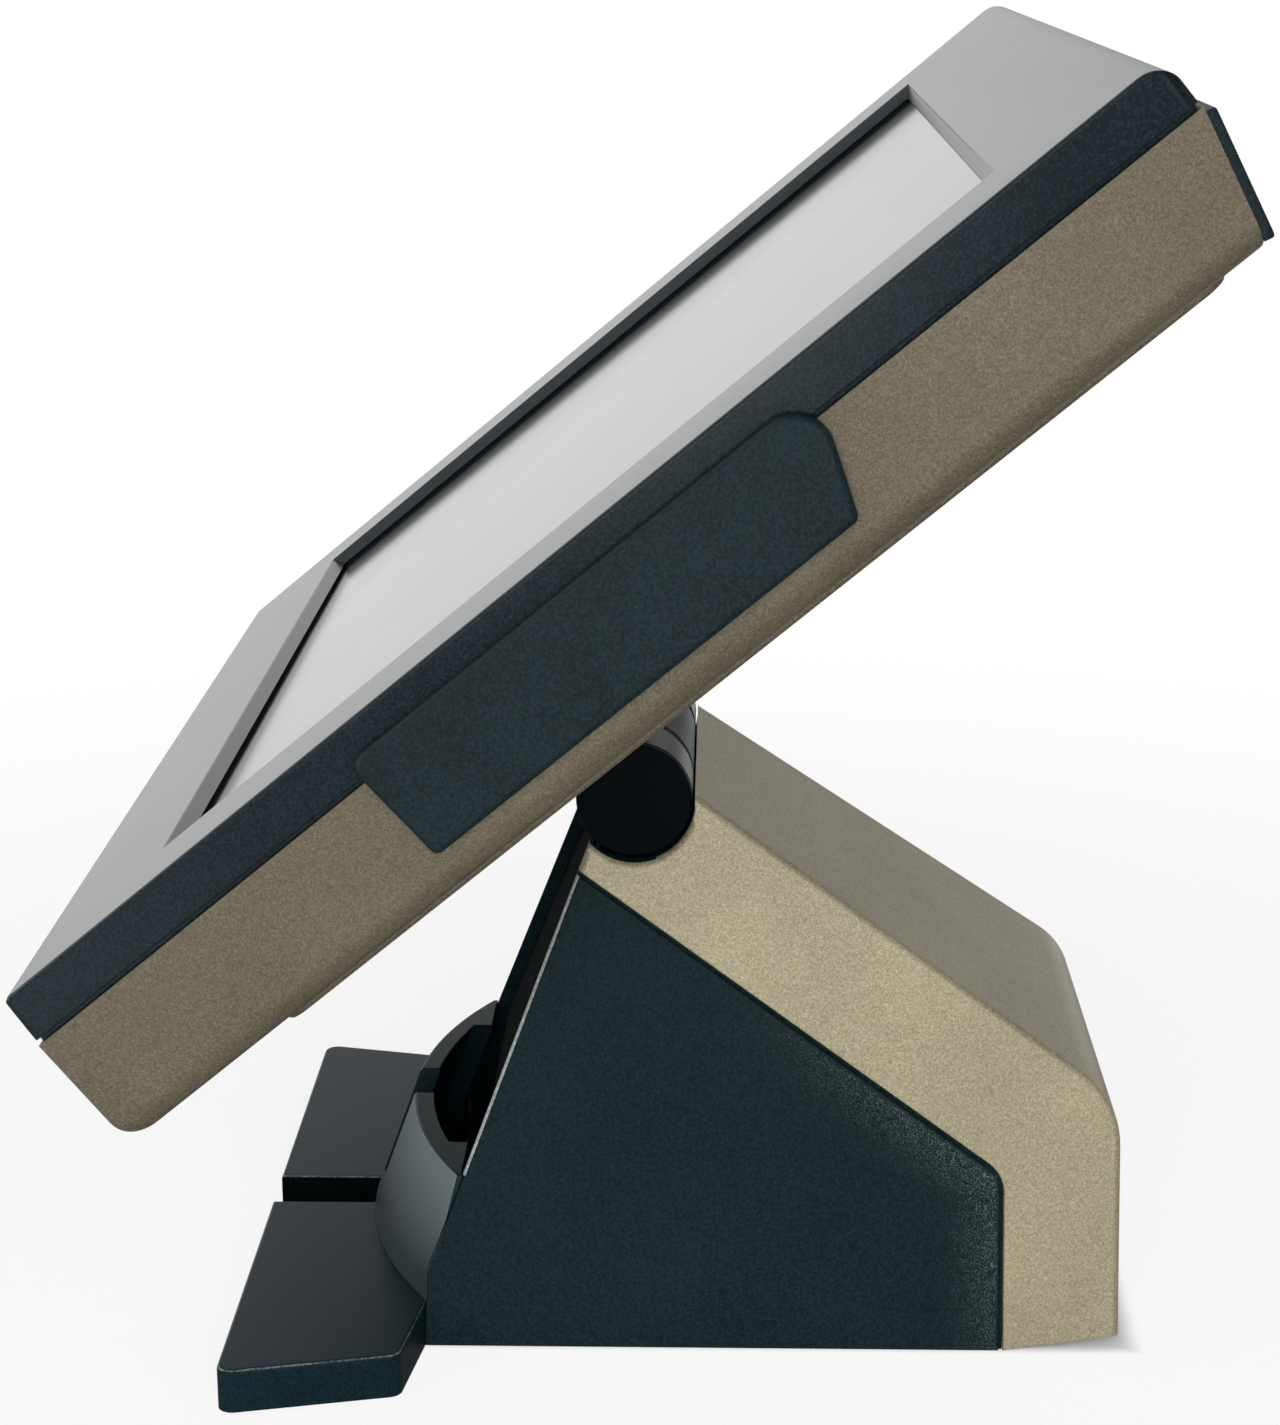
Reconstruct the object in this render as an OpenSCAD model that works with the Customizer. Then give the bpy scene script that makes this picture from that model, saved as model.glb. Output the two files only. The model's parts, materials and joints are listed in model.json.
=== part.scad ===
// Touchscreen sales terminal: a tilting display head on a wedge stand. Millimetres.
// X points to the operator's right, Y away from the operator, Z up.
// The origin lies on the counter, straight below the tilt hinge.

/* [Head] */
// Width of the display head
head_w = 384; // [372:1:400]
// Height of the display head along the screen
head_h = 328; // [322:1:340]
// Depth from the bezel's face to the back of the rear housing
head_d = 45; // [44:0.5:50]
// Angle of the screen above the counter
screen_tilt = 39.5; // [34:0.5:45]
// Hinge axis above the head's lower edge
pivot_up = 110; // [105:1:115]
// Hinge axis behind the bezel's face
pivot_back = 84.7; // [82:0.1:92]
// Moulded wall of the rear housing
wall = 2.5; // [2:0.1:3]

/* [Bezel and screen] */
// Depth of the bezel's side band
bezel_d = 12; // [10:0.5:13]
// How far the bezel's lower edge drops from its face to the seam
bezel_drop = 1.2; // [0.6:0.1:2]
// Radius of the bezel's top front edge
bezel_top_r = 7; // [5:0.5:8]
// Radius of the bezel's lower front edge
bezel_low_r = 1.5; // [1:0.1:2]
// Corner radius of the bezel, seen from the front
bezel_corner_r = 4; // [2:0.5:6]
// Width of the shadow gap between bezel and housing
seam_w = 1.2; // [0.8:0.1:1.6]
// Depth of the shadow gap
seam_d = 1.2; // [0.8:0.1:1.6]
// Length of the tongue that enters the housing
tongue_l = 3.5; // [2:0.5:4]
// Thickness of the tongue
tongue_t = 1.5; // [1.2:0.1:2]
// Width of the bezel's rim beside the screen opening
rim_side = 32; // [31:0.5:35]
// Width of the bezel's rim below the screen opening
rim_low = 41; // [40:0.5:43]
// Width of the bezel's rim above the screen opening
rim_top = 41; // [40:0.5:43]
// How far the opening narrows towards the glass, on each side
lip_draft = 3; // [2:0.5:4]
// Thickness of the bezel's face
lip_t = 3.2; // [2.8:0.1:3.6]
// Thickness of the seal under the lip
gasket_t = 1; // [0.6:0.1:1.2]
// How far the seal sits back from the lip
gasket_back = 1.5; // [1:0.1:3]
// Thickness of the touch panel
glass_t = 3; // [2:0.1:3.2]
// How far the touch panel reaches behind the lip
glass_lap = 9; // [7:0.5:10]
// How far the display module reaches behind the lip
lcd_lap = 6.5; // [5:0.5:7]
// Thickness of the display module
lcd_t = 11.5; // [10:0.5:12]

/* [Rear housing and covers] */
// Radius of the housing's lower back edge
housing_low_r = 8; // [6:0.5:10]
// Radius of the housing's side back edges
housing_side_r = 6; // [4:0.5:8]
// Radius of the housing's top back edge
housing_top_r = 2.5; // [2:0.5:4]
// How far the housing's top slopes in from seam to back
top_taper = 7; // [5:0.5:9]
// Rear cover's inset from the head's sides
cover_in = 14; // [12:0.5:18]
// Rear cover's lower edge above the head's lower edge
cover_low = 41; // [38:0.5:44]
// Rear cover's upper edge below the head's upper edge
cover_drop = 16.5; // [14:0.5:20]
// How far the rear cover stands out
cover_t = 3.1; // [2.6:0.1:3.6]
// Corner radius of the rear cover
cover_r = 6; // [3:0.5:10]
// Thickness of the black strip on the top
top_cover_t = 2.4; // [1.6:0.1:3]
// How far the side cover stands out
side_cover_t = 5; // [3:0.1:5.2]
// Side cover's lower end above the head's lower edge
side_cover_low = 98; // [94:0.5:102]
// Length of the side cover at its front edge
side_cover_l = 132; // [126:0.5:136]
// Front edge of the side cover behind the bezel's face
side_cover_front = 7; // [5:0.5:8]
// Back edge of the side cover behind the bezel's face
side_cover_back = 35.5; // [33:0.5:37]
// Width of a vent slot
vent_w = 3.2; // [2.4:0.1:4]
// Spacing of the vent slots
vent_pitch = 8; // [7:0.5:10]
// Length of a vent slot
vent_l = 36; // [24:1:40]
// Vent slots in the rear cover
vents = 26; // [16:2:26]

/* [Head electronics] */
// Thickness of the steel chassis plate
chassis_t = 1.5; // [1.2:0.1:2]
// Height of the board's standoffs
standoff_h = 5; // [4:0.5:6]
// Thickness of the circuit boards
board_t = 1.6; // [1.2:0.1:2]
// Height of the heat sink's fins
fin_h = 8; // [6:0.5:8.5]
// Fins on the heat sink
fins = 12; // [8:1:14]
// Radius of the power button
button_r = 5; // [4:0.1:6]
// How far the power button stands out
button_proud = 1.3; // [1.2:0.1:2]
// Travel of the power button
button_travel = 1; // [0.6:0.1:1.1]
// Gap round the power button
button_gap = 0.3; // [0.3:0.05:0.4]

/* [Hinge] */
// Hinge axis above the counter
hinge_z = 149; // [145:0.5:155]
// Radius of the hinge barrel
barrel_r = 15.9; // [15:0.1:17]
// Radius of the hinge shaft
shaft_r = 6; // [5:0.1:7]
// Running clearance of the bushes on the shaft
run_gap = 0.05; // [0.02:0.01:0.09]
// Wall of the bushes
bush_t = 2; // [1.5:0.1:3]
// Width of the middle knuckle
knuckle_w = 44; // [40:0.5:48]
// Thickness of a friction washer
washer_t = 0.6; // [0.5:0.05:1]
// Thickness of the frame's ears
ear_t = 4; // [3:0.1:5]
// Side of the square hinge plate
plate_s = 96; // [92:1:100]
// Thickness of the hinge plate
plate_t = 4; // [3:0.1:5]
// Screw spacing on the hinge plate
plate_pitch = 75; // [70:1:80]
// Thickness of the barrel's end caps
end_cap_t = 2.5; // [2:0.1:3]

/* [Stand] */
// Width of the stand at the hinge axis
stand_w = 97.4; // [95:0.2:102]
// Flare of the stand's sides from the vertical
flare = 10.8; // [9:0.1:12]
// Height of the roof's plane above the hinge axis
roof_rise = 10.5; // [9:0.1:12]
// Slope of the roof
roof_slope = 35; // [32:0.5:37]
// Back face behind the hinge axis
stand_back = 132.5; // [128:0.5:140]
// Radius where the roof turns down to the back
roof_r = 24; // [18:0.5:28]
// Foot of the front before the hinge axis
front_foot = 56.6; // [54:0.1:59]
// Height at which the upright front starts to lean back
front_knee = 22; // [18:0.5:26]
// Lean of the front slope from the vertical
front_lean = 21; // [19:0.1:22]
// Counter to the underside of the stand
base_z = 1; // [0.8:0.1:2]
// Rise of the shell's lower edge at the back
rear_lift = 4.5; // [0:0.5:6]
// Outer layer of the stand's walls
shell_out = 2.5; // [2.2:0.1:3]
// Inner layer of the stand's walls
shell_in = 2; // [1.6:0.1:2.5]
// Width of the bronze band along the roof
band_roof = 34.5; // [30:0.5:38]
// Width of the bronze band along the back
band_back = 31.5; // [28:0.5:36]
// Corner radius of the side panels
panel_r = 10; // [6:0.5:14]
// Shadow gap round the side panels
panel_gap = 1.2; // [0.8:0.1:1.6]
// Thickness of the side panels' face
panel_t = 1.4; // [1:0.1:1.8]
// Ledge behind the side panels, round the access opening
access_in = 9; // [6:0.5:12]
// Thickness of the front cover
front_t = 2.5; // [2:0.1:3]
// How far the front cover sits back
front_back = 3.5; // [2:0.1:5]
// Height of the neck's notch below the hinge axis
neck_drop = 23; // [22:0.5:27]

/* [Foot and cable cup] */
// Thickness of the front foot above the stand's underside
foot_t = 12.2; // [10:0.1:14]
// Front edge of the foot before the hinge axis
foot_front = 108.5; // [104:0.5:114]
// Half width of the foot at its front edge
foot_half_front = 117; // [112:0.5:122]
// Half width of the foot at its rear corner
foot_half_rear = 106; // [102:0.5:110]
// Corner radius of the foot
foot_r = 4; // [2:0.5:6]
// Thickness of the stand's floor
floor_t = 3; // [2.6:0.1:4]
// Width of the cable groove and of the slot in the cup
groove_w = 18; // [14:0.5:22]
// Floor left under the cable groove
groove_floor = 3; // [2.5:0.1:4]
// Rim of the cable cup above the counter
cup_rim = 48; // [44:0.5:52]
// Front of the cup on the foot before the hinge axis
cup_front = 78.5; // [76:0.5:82]
// Radius of the cup
cup_r = 148; // [140:1:160]
// Lean of the cup's wall from the vertical
cup_lean = 20; // [18:0.1:21]
// Wall of the cup
cup_wall = 5.5; // [4:0.1:6]
// Width of the cup's mouth
cup_mouth = 90; // [80:1:96]
// Floor of the cup
cup_floor = 2.6; // [2:0.1:3]
// Radius of a rubber foot
pad_r = 9; // [7:0.1:10]
// How deep a rubber foot sits in the base
pad_in = 1; // [0.8:0.1:1.2]
// Radius of the counter fixing holes
fix_r = 2.1; // [2:0.05:2.6]
// Spacing of the fixing holes across the stand
fix_x = 118; // [110:1:120]
// Spacing of the fixing holes along the stand
fix_y = 60; // [50:1:60]

/* [Fits and fasteners] */
// Clearance between parts that are put together
fit = 0.2; // [0.15:0.05:0.3]
// Gap between the barrel and the shell round it
barrel_gap = 0.6; // [0.5:0.05:0.8]
// Radius of the small screws
screw_r = 1.5; // [1.25:0.05:1.6]
// Head radius of the small screws
screw_head_r = 2.9; // [2.5:0.1:3]
// Head height of the small screws
screw_head_h = 1.7; // [1.4:0.1:1.8]
// How far the small screws enter the bezel's bosses
screw_l = 8; // [6:0.5:10]
// Radius of the hinge plate's screws
bolt_r = 2; // [1.8:0.05:2.2]

/* [Hidden] */
$fn = 96;

black = "#23272a";
bronze = "#8b8069";
steel = "#9aa0a4";
copper = "#b5763f";
green = "#1f5a3c";
silver = "#c4c8cb";

// How far cuts run past what they cut, and how much deeper a hole is than its screw
past = 1;
// Longer than any piece
far = 2 * head_w;

// Layers of the head, front to back
low = -bezel_drop;
lip_v = -lip_t;
glass_v = lip_v - gasket_t;
lcd_v = glass_v - glass_t;
chassis_v = lcd_v - lcd_t;
chassis_back = chassis_v - chassis_t;
board_v = chassis_back - standoff_h;
board_back = board_v - board_t;
seam_v = -(bezel_d + seam_w);
back_v = -head_d;
inner_back = back_v + wall;
cover_v = back_v - cover_t;
view_w = head_w - 2 * rim_side;
view_h = head_h - rim_low - rim_top;
view_mid = rim_low + view_h / 2;
bezel_wall = wall + fit + tongue_t;
clear_w = view_w - 2 * lip_draft;
clear_h = view_h - 2 * lip_draft;
lcd_w = clear_w + 2 * lcd_lap;
lcd_h = clear_h + 2 * lcd_lap;
top_back = head_h - top_taper;
cover_high = head_h - cover_drop;
cover_half = head_w / 2 - cover_in;

// Places of the head's fasteners, as x and height along the screen
boss_r = 4;
boss_in = 14;
boss_end = 18;
boss_share = 0.156;
boss_mid_x = head_w * boss_share;
boss_xu = [for (sx = [-1, 1]) each [
  for (u = [boss_end, view_mid, head_h - boss_end]) [sx * (head_w / 2 - boss_in), u],
  for (u = [boss_end, head_h - boss_end]) [sx * boss_mid_x, u]
]];
post_r = 4.5;
post_in = 27;
post_top_in = 42;
post_end = 23;
sink_h = 4;
housing_xu = [for (sx = [-1, 1]) each [
  [sx * (head_w / 2 - post_in), post_end],
  [sx * (head_w / 2 - post_top_in), head_h - post_end]
]];
cover_post_h = 6;
cover_screw_in = 7;
cover_screw_end = 12;
cover_xu = [for (sx = [-1, 1], u = [cover_low + cover_screw_end, cover_high - cover_screw_end])
  [sx * (cover_half - cover_screw_in), u]];
plate_xu = [for (sx = [-1, 1], su = [-1, 1]) [sx * plate_pitch / 2, pivot_up + su * plate_pitch / 2]];
plate_post_r = 5.5;
bolt_l = 13;
bolt_head_r = 3.8;
bolt_head_h = 2.6;

// Main board: a wide part over the hinge plate and a leg beside it
drive_w = 100;
drive_l = 70;
drive_t = 7;
drive_x = head_w / 2 - drive_w / 2 - 17;
plate_clear = 4;
leg_clear = 10;
board_clear = 13;
board_right = drive_x - drive_w / 2 - board_clear;
board_low = cover_low + 9;
board_top = head_h - 36;
leg_x = -plate_s / 2 - plate_clear;
board_x = cover_screw_in + plate_clear - cover_half;
leg_u = pivot_up + plate_s / 2 + leg_clear;

// Connector window and the blocks behind it
io_in = 3.5;
io_w = leg_x - board_x - 2 * io_in;
io_h = 26;
ports = 6;
port_w = 13.8;
port_h = 19;
mouth_d = 3.7;
io_lo = [(board_x + leg_x - io_w) / 2, board_low + 4];
io_hi = io_lo + [io_w, io_h];
io_mid = (io_lo[1] + io_hi[1]) / 2;
io_pitch = io_w / ports;
io_plate_t = 1.2;
io_edge = 2;

board_edge = 6;
standoff_r = 3.2;
board_xu = [
  [board_x + board_edge, io_hi[1] + 10], [leg_x - board_edge, io_hi[1] + 10],
  [board_x + board_edge, leg_u + board_edge], [board_right - board_edge, leg_u + board_edge],
  [board_x + board_edge, board_top - board_edge], [board_right - board_edge, board_top - board_edge]
];
chip_s = 38;
chip_t = 2;
sink_w = 88;
sink_l = 76;
sink_t = 3;
fin_t = 1.8;
memory_w = 68;
memory_l = 30;
memory_x = board_x + memory_w / 2 + 2 * board_edge;
chip = [(memory_x + memory_w / 2 + board_right) / 2, (leg_u + board_top) / 2];
touch_w = 60;
touch_l = 30;

button_x = -head_w / 2 + 42;
button_v = -30;
flange_t = 1.4;
stem_r = 2;
stem_l = 4.6;
speaker_x = head_w / 2 - 70;
speaker_w = 66;
speaker_h = 22;
speaker_v = [back_v + housing_low_r, chassis_back - 1];
speaker_mid = (speaker_v[0] + speaker_v[1]) / 2;
vent_u = cover_high - 30 - vent_l / 2;
peg_r = 2.5;
peg_v = -26;

// Hinge, from the middle outwards
bush_l = 14;
neck_half = 18;
knuckle_gap = 0.1;
ear_in = knuckle_w / 2 + knuckle_gap + washer_t;
ear_out = ear_in + ear_t;
spring_h = 1.6;
spring_t = 1;
nut_h = 6;
nut_r = 10.5;
nut_x = ear_out + 2 * spring_h;
shaft_half = nut_x + nut_h + 2;
cap_out = stand_w / 2 - fit;
cap_in = cap_out - end_cap_t;
sleeve_t = 2.8;
sleeve_lap = 1;

// Stand
sky = hinge_z + 2 * barrel_r;
foot_top = base_z + foot_t;
plate_top = base_z + floor_t;
foot_gap = 0.5;
foot_back = -front_foot - foot_gap;
foot_chamfer = 4;
plate_in = 2 * rear_lift;
frame_t = 2.5;
frame_half = 45;
frame_front = 38;
frame_back = 24;
frame_edge = 8;
supply_w = 84;
supply_h = 38;
supply_front = 34;
supply_back = stand_back - 15;
inlet_w = 28;
inlet_h = 22;
inlet_z = 9;
inlet_wall = 2.5;
inlet_depth = 12.5;
fix_boss_r = 5;
fix_boss_h = 6;
base_boss = 6;
base_boss_h = 14;
base_grip = 11;
fix_xy = [for (sx = [-1, 1], y = [0, fix_y]) [sx * fix_x / 2, y]];
frame_xy = [for (sx = [-1, 1], y = [frame_edge - frame_front, frame_back - frame_edge])
  [sx * (frame_half - frame_edge), y]];
base_xy = [for (sx = [-1, 1]) each [
  [sx * (half_w(0) - 14), -26],
  [sx * (half_w(0) - 22), stand_back - 14]
]];
pad_xy = [for (sx = [-1, 1]) each [
  [sx * (foot_half_rear - 12), 22 - foot_front],
  [sx * 48, -frame_front],
  [sx * 38, stand_back - 20]
]];

function unit(v) = v / norm(v);
function half_w(z) = stand_w / 2 + (hinge_z - z) * tan(flare);
function roof_z(y, inset) = hinge_z + (roof_rise - inset) / cos(roof_slope) - y * tan(roof_slope);
function front_y(z, inset) =
  -front_foot + max(z - front_knee, 0) * tan(front_lean) + inset / cos(front_lean);
function knee(inset, foot) = foot < front_knee ? [[front_y(front_knee, inset), front_knee]] : [];
// Height at which the front slope meets a line below the roof, each set in
function front_top(inset, near) =
  (roof_z(0, inset) + tan(roof_slope) * (front_knee * tan(front_lean) - front_y(front_knee, near)))
  / (1 + tan(roof_slope) * tan(front_lean));

// Polygon with rounded convex corners: each is cut away outside its circle
module rounded(points, radii) {
  n = len(points);
  difference() {
    polygon(points);
    for (i = [0:n - 1]) if (radii[i] > 0) {
      p = points[i];
      a = unit(points[(i + n - 1) % n] - p);
      b = unit(points[(i + 1) % n] - p);
      h = acos(a * b) / 2;
      mid = p + unit(a + b) * radii[i] / sin(h);
      difference() {
        polygon([for (q = [a * radii[i] / tan(h), [0, 0], b * radii[i] / tan(h)]) 2 * (p + q) - mid,
          mid]);
        translate(mid) circle(radii[i]);
      }
    }
  }
}

module round_rect(w, h, r) {
  rounded([[-w / 2, -h / 2], [w / 2, -h / 2], [w / 2, h / 2], [-w / 2, h / 2]], [r, r, r, r]);
}

// Outline in Y and Z, drawn out along X
module along_x(w) {
  rotate([90, 0, 90]) linear_extrude(w, center = true) children();
}

// Outline in X and Z, drawn out along Y
module along_y(w) {
  rotate([90, 0, 0]) linear_extrude(w, center = true) children();
}

module box(lo, hi) {
  translate(lo) cube(hi - lo);
}

module rod(r, x0, x1) {
  translate([x0, 0, 0]) rotate([0, 90, 0]) cylinder(r = r, h = x1 - x0);
}

module at_each(places) {
  for (p = places) translate([p[0], p[1], 0]) children();
}

module both_sides() {
  children();
  mirror([1, 0, 0]) children();
}

// Frame of the head: X, up the screen, out of the screen
module in_head() {
  translate([0, 0, hinge_z]) rotate([screen_tilt, 0, 0]) translate([0, -pivot_up, pivot_back])
    children();
}

module on_hinge() {
  translate([0, 0, hinge_z]) children();
}

// Pin between two depths of the head
module pin(r, v0, v1) {
  translate([0, 0, v0]) cylinder(r = r, h = v1 - v0);
}

// Block with the head's outline, set in from it
module head_block(inset, v0, v1) {
  box([-head_w / 2 + inset, low + inset, v0], [head_w / 2 - inset, head_h - inset, v1]);
}

module front_bezel() {
  color(black) in_head() difference() {
    union() {
      difference() {
        union() {
          intersection() {
            along_x(far) rounded([[low, -bezel_d], [0, 0], [head_h, 0], [head_h, -bezel_d]],
              [0, bezel_low_r, bezel_top_r, 0]);
            translate([0, head_h / 2 + low, -bezel_d - 1]) linear_extrude(bezel_d + 2)
              round_rect(head_w, head_h - 2 * low, bezel_corner_r);
          }
          head_block(seam_d, seam_v, -bezel_d);
          intersection() {
            housing_form(wall + fit);
            head_block(0, seam_v - tongue_l, seam_v);
          }
        }
        head_block(bezel_wall, seam_v, lip_v);
        intersection() {
          housing_form(bezel_wall);
          head_block(0, -head_d, seam_v + past);
        }
      }
      at_each(boss_xu) pin(boss_r, chassis_v, lip_v);
    }
    intersection() {
      translate([0, view_mid, 0]) along_x(head_w) polygon([[-clear_h / 2, lip_v], [clear_h / 2, lip_v],
        [view_h / 2, 0], [view_h / 2, 1], [-view_h / 2, 1], [-view_h / 2, 0]]);
      translate([0, view_mid, 0]) along_y(head_h) polygon([[-clear_w / 2, lip_v], [clear_w / 2, lip_v],
        [view_w / 2, 0], [view_w / 2, 1], [-view_w / 2, 1], [-view_w / 2, 0]]);
    }
    at_each(boss_xu) pin(screw_r, chassis_v - past, chassis_v + screw_l + past);
  }
}

module screen_gasket() {
  color("#101214") in_head() translate([0, view_mid, glass_v]) linear_extrude(gasket_t) difference() {
    square([clear_w + 2 * glass_lap - 2 * fit, clear_h + 2 * glass_lap - 2 * fit], center = true);
    square([clear_w + 2 * gasket_back, clear_h + 2 * gasket_back], center = true);
  }
}

module touch_glass() {
  color("#c8ccca") in_head() translate([0, view_mid, lcd_v]) linear_extrude(glass_t)
    round_rect(clear_w + 2 * glass_lap, clear_h + 2 * glass_lap, 2);
}

module lcd_panel() {
  color(silver) in_head() translate([0, view_mid, 0])
    box([-lcd_w / 2, -lcd_h / 2, chassis_v], [lcd_w / 2, lcd_h / 2, lcd_v]);
}

// Outside of the rear housing, or its inside when set in
module housing_form(inset) {
  front = inset > 0 ? seam_v + 1 : seam_v;
  back = back_v + inset;
  side = head_w / 2 - inset;
  side_r = housing_side_r - inset;
  intersection() {
    along_x(far) rounded(
      [[low + inset, front], [low + inset, back], [top_back - inset, back], [head_h - inset, front]],
      [0, housing_low_r - inset, max(housing_top_r - inset, 0), 0]);
    translate([0, head_h / 2, 0]) along_y(2 * head_h)
      rounded([[-side, 0], [-side, back], [side, back], [side, 0]], [0, side_r, side_r, 0]);
  }
}

module vent_row() {
  for (i = [0:vents - 1]) translate([(i - (vents - 1) / 2) * vent_pitch, vent_u, 0]) children();
}

module speaker_slots() {
  for (i = [-4:4]) translate([speaker_x + 6 * i, low, speaker_mid])
    box([-1.2, -past, -6], [1.2, wall + past, 6]);
}

module side_pegs(r, x0) {
  for (u = [side_cover_low + 25, side_cover_low + side_cover_l - 35]) translate([0, u, peg_v])
    rod(r, x0, head_w / 2 + 1);
}

// Frame on the sloping top of the housing: X, back along the top, out of it
module on_top() {
  translate([0, head_h, seam_v]) rotate([-90 - atan2(top_taper, head_d + seam_v), 0, 0]) children();
}

module top_slots() {
  for (i = [-9:9]) translate([18 * i, 16, 0]) linear_extrude(12, center = true) round_rect(12, 3, 1.4);
}

module rear_housing() {
  color(bronze) in_head() difference() {
    union() {
      difference() {
        housing_form(0);
        housing_form(wall);
      }
      at_each(housing_xu) pin(post_r, inner_back - 1, chassis_back);
      at_each(cover_xu) pin(boss_r, inner_back - 1, inner_back + cover_post_h);
    }
    at_each(housing_xu) {
      pin(screw_r, back_v - 1, chassis_back + 1);
      pin(screw_head_r + fit, back_v - 1, back_v + sink_h);
    }
    at_each(cover_xu) pin(screw_r, back_v - 1, inner_back + cover_post_h - 1);
    at_each(plate_xu) pin(bolt_r + fit, back_v - 1, inner_back + 1);
    translate([0, vent_u, back_v - 1]) linear_extrude(wall + 2)
      round_rect(vents * vent_pitch + 10, vent_l + 10, 5);
    box([io_lo[0], io_lo[1], back_v - 1], [io_hi[0], io_hi[1], inner_back + 1]);
    translate([button_x, low - 1, button_v]) rotate([-90, 0, 0])
      cylinder(r = button_r + button_gap, h = wall + 2);
    speaker_slots();
    side_pegs(peg_r + fit / 2, head_w / 2 - wall - 1);
    on_top() top_slots();
  }
}

module rear_cover() {
  color(bronze) in_head() difference() {
    translate([0, (cover_low + cover_high) / 2, cover_v]) linear_extrude(cover_t)
      round_rect(2 * cover_half, cover_high - cover_low, cover_r);
    vent_row() translate([0, 0, cover_v - 1]) linear_extrude(cover_t + 2)
      round_rect(vent_w, vent_l, vent_w / 2 - 0.1);
    at_each(cover_xu) {
      pin(screw_r + fit, cover_v - 1, back_v + 1);
      pin(screw_head_r + fit, cover_v - 1, cover_v + screw_head_h);
    }
    at_each(plate_xu) pin(bolt_r + fit, cover_v - 1, back_v + 1);
    box([io_lo[0], io_lo[1], cover_v - 1], [io_hi[0], io_hi[1], back_v + 1]);
  }
}

module top_cover() {
  color(black) in_head() on_top() difference() {
    translate([0, (head_d + seam_v) / 2 + 0.4, 0]) linear_extrude(top_cover_t)
      round_rect(head_w - 1, head_d + seam_v - 1.6, 1.2);
    top_slots();
  }
}

module side_cover() {
  end = side_cover_low + side_cover_l;
  color(black) in_head() {
    translate([(head_w + side_cover_t) / 2, 0, 0]) along_x(side_cover_t) rounded([
      [side_cover_low + 1.5, -side_cover_back], [end - 11, -side_cover_back],
      [end, -side_cover_front], [side_cover_low, -side_cover_front]
    ], [2, 2, 9, 4]);
    side_pegs(peg_r, head_w / 2 - wall);
  }
}

module chassis_plate() {
  color(steel) in_head() difference() {
    union() {
      box([-head_w / 2 + 8, low + 6, chassis_back], [head_w / 2 - 8, head_h - 9, chassis_v]);
      at_each(board_xu) pin(standoff_r, board_v, chassis_back + 0.5);
      at_each(plate_xu) pin(plate_post_r, inner_back, chassis_back + 0.5);
    }
    at_each(boss_xu) pin(screw_r + fit, chassis_back - 1, chassis_v + 1);
    at_each(housing_xu) pin(screw_r, chassis_back - 1, chassis_v + 1);
    at_each(board_xu) pin(screw_r, board_v - 1, chassis_v + 1);
    at_each(plate_xu) pin(bolt_r, inner_back - 1, inner_back + bolt_l + 1);
  }
}

module chassis_screws() {
  color(silver) in_head() at_each(boss_xu) {
    pin(screw_r, chassis_back, chassis_v + screw_l);
    pin(screw_head_r, chassis_back - screw_head_h, chassis_back);
  }
}

module main_board() {
  color(green) in_head() difference() {
    translate([0, 0, board_back]) linear_extrude(board_t) polygon([
      [board_x, board_low], [leg_x, board_low], [leg_x, leg_u],
      [board_right, leg_u], [board_right, board_top], [board_x, board_top]
    ]);
    at_each(board_xu) pin(screw_r + fit, board_back - 1, board_v + 1);
  }
}

module board_screws() {
  color(silver) in_head() at_each(board_xu) {
    pin(screw_r, board_back, chassis_back);
    pin(screw_head_r, board_back - screw_head_h, board_back);
  }
}

module processor() {
  color("#3a3f44") in_head() translate([chip[0], chip[1], board_back])
    box([-chip_s / 2, -chip_s / 2, -chip_t], [chip_s / 2, chip_s / 2, 0]);
}

module heat_sink() {
  color(silver) in_head() translate([chip[0] - sink_w / 2, chip[1], board_back - chip_t]) {
    box([0, -sink_l / 2, -sink_t], [sink_w, sink_l / 2, 0]);
    for (i = [0:fins - 1]) translate([i * (sink_w - fin_t) / (fins - 1), 0, -sink_t])
      box([0, -sink_l / 2, -fin_h], [fin_t, sink_l / 2, 0.5]);
  }
}

module memory_module() {
  color(green) in_head() translate([memory_x, chip[1], board_back]) {
    box([-memory_w / 2, -memory_l / 2, -4], [memory_w / 2, memory_l / 2, -2.8]);
    box([-memory_w / 2 - 2, -memory_l / 2 - 3, -4.6], [memory_w / 2 + 2, -memory_l / 2 + 3, 0]);
    for (i = [-1.5:1.5]) translate([16 * i, 0, 0]) box([-6, -8, -5], [6, 6, -3]);
  }
}

module storage_drive() {
  color("#50555a") in_head() translate([drive_x, view_mid + 60, chassis_back]) {
    box([-drive_w / 2, -drive_l / 2, -drive_t], [drive_w / 2, drive_l / 2, 0]);
    translate([0, 0, -drive_t]) linear_extrude(0.8, center = true)
      square([drive_w - 12, drive_l - 10], center = true);
  }
}

module touch_controller() {
  color(green) in_head() translate([speaker_x, view_mid - 40, chassis_back]) {
    box([-touch_w / 2, -touch_l / 2, -board_t], [touch_w / 2, touch_l / 2, 0]);
    box([-8, -8, -board_t - 1.4], [8, 8, -1]);
    box([2 - touch_w / 2, 6, -board_t - 3.4], [16 - touch_w / 2, 13, -1]);
  }
}

module speaker() {
  color("#1b1d1f") in_head() translate([speaker_x, low + wall, 0]) difference() {
    box([-speaker_w / 2, 0, speaker_v[0]], [speaker_w / 2, speaker_h, speaker_v[1]]);
    translate([0, -past, speaker_mid]) rotate([-90, 0, 0]) cylinder(r = 7, h = 4);
  }
}

// Block in the connector row, counted from the side, between two depths
module port_box(slot, w, h, du, v0, v1) {
  translate([io_lo[0] + (slot + 0.5) * io_pitch, io_mid + du, 0])
    box([-w / 2, -h / 2, v0], [w / 2, h / 2, v1]);
}

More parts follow.
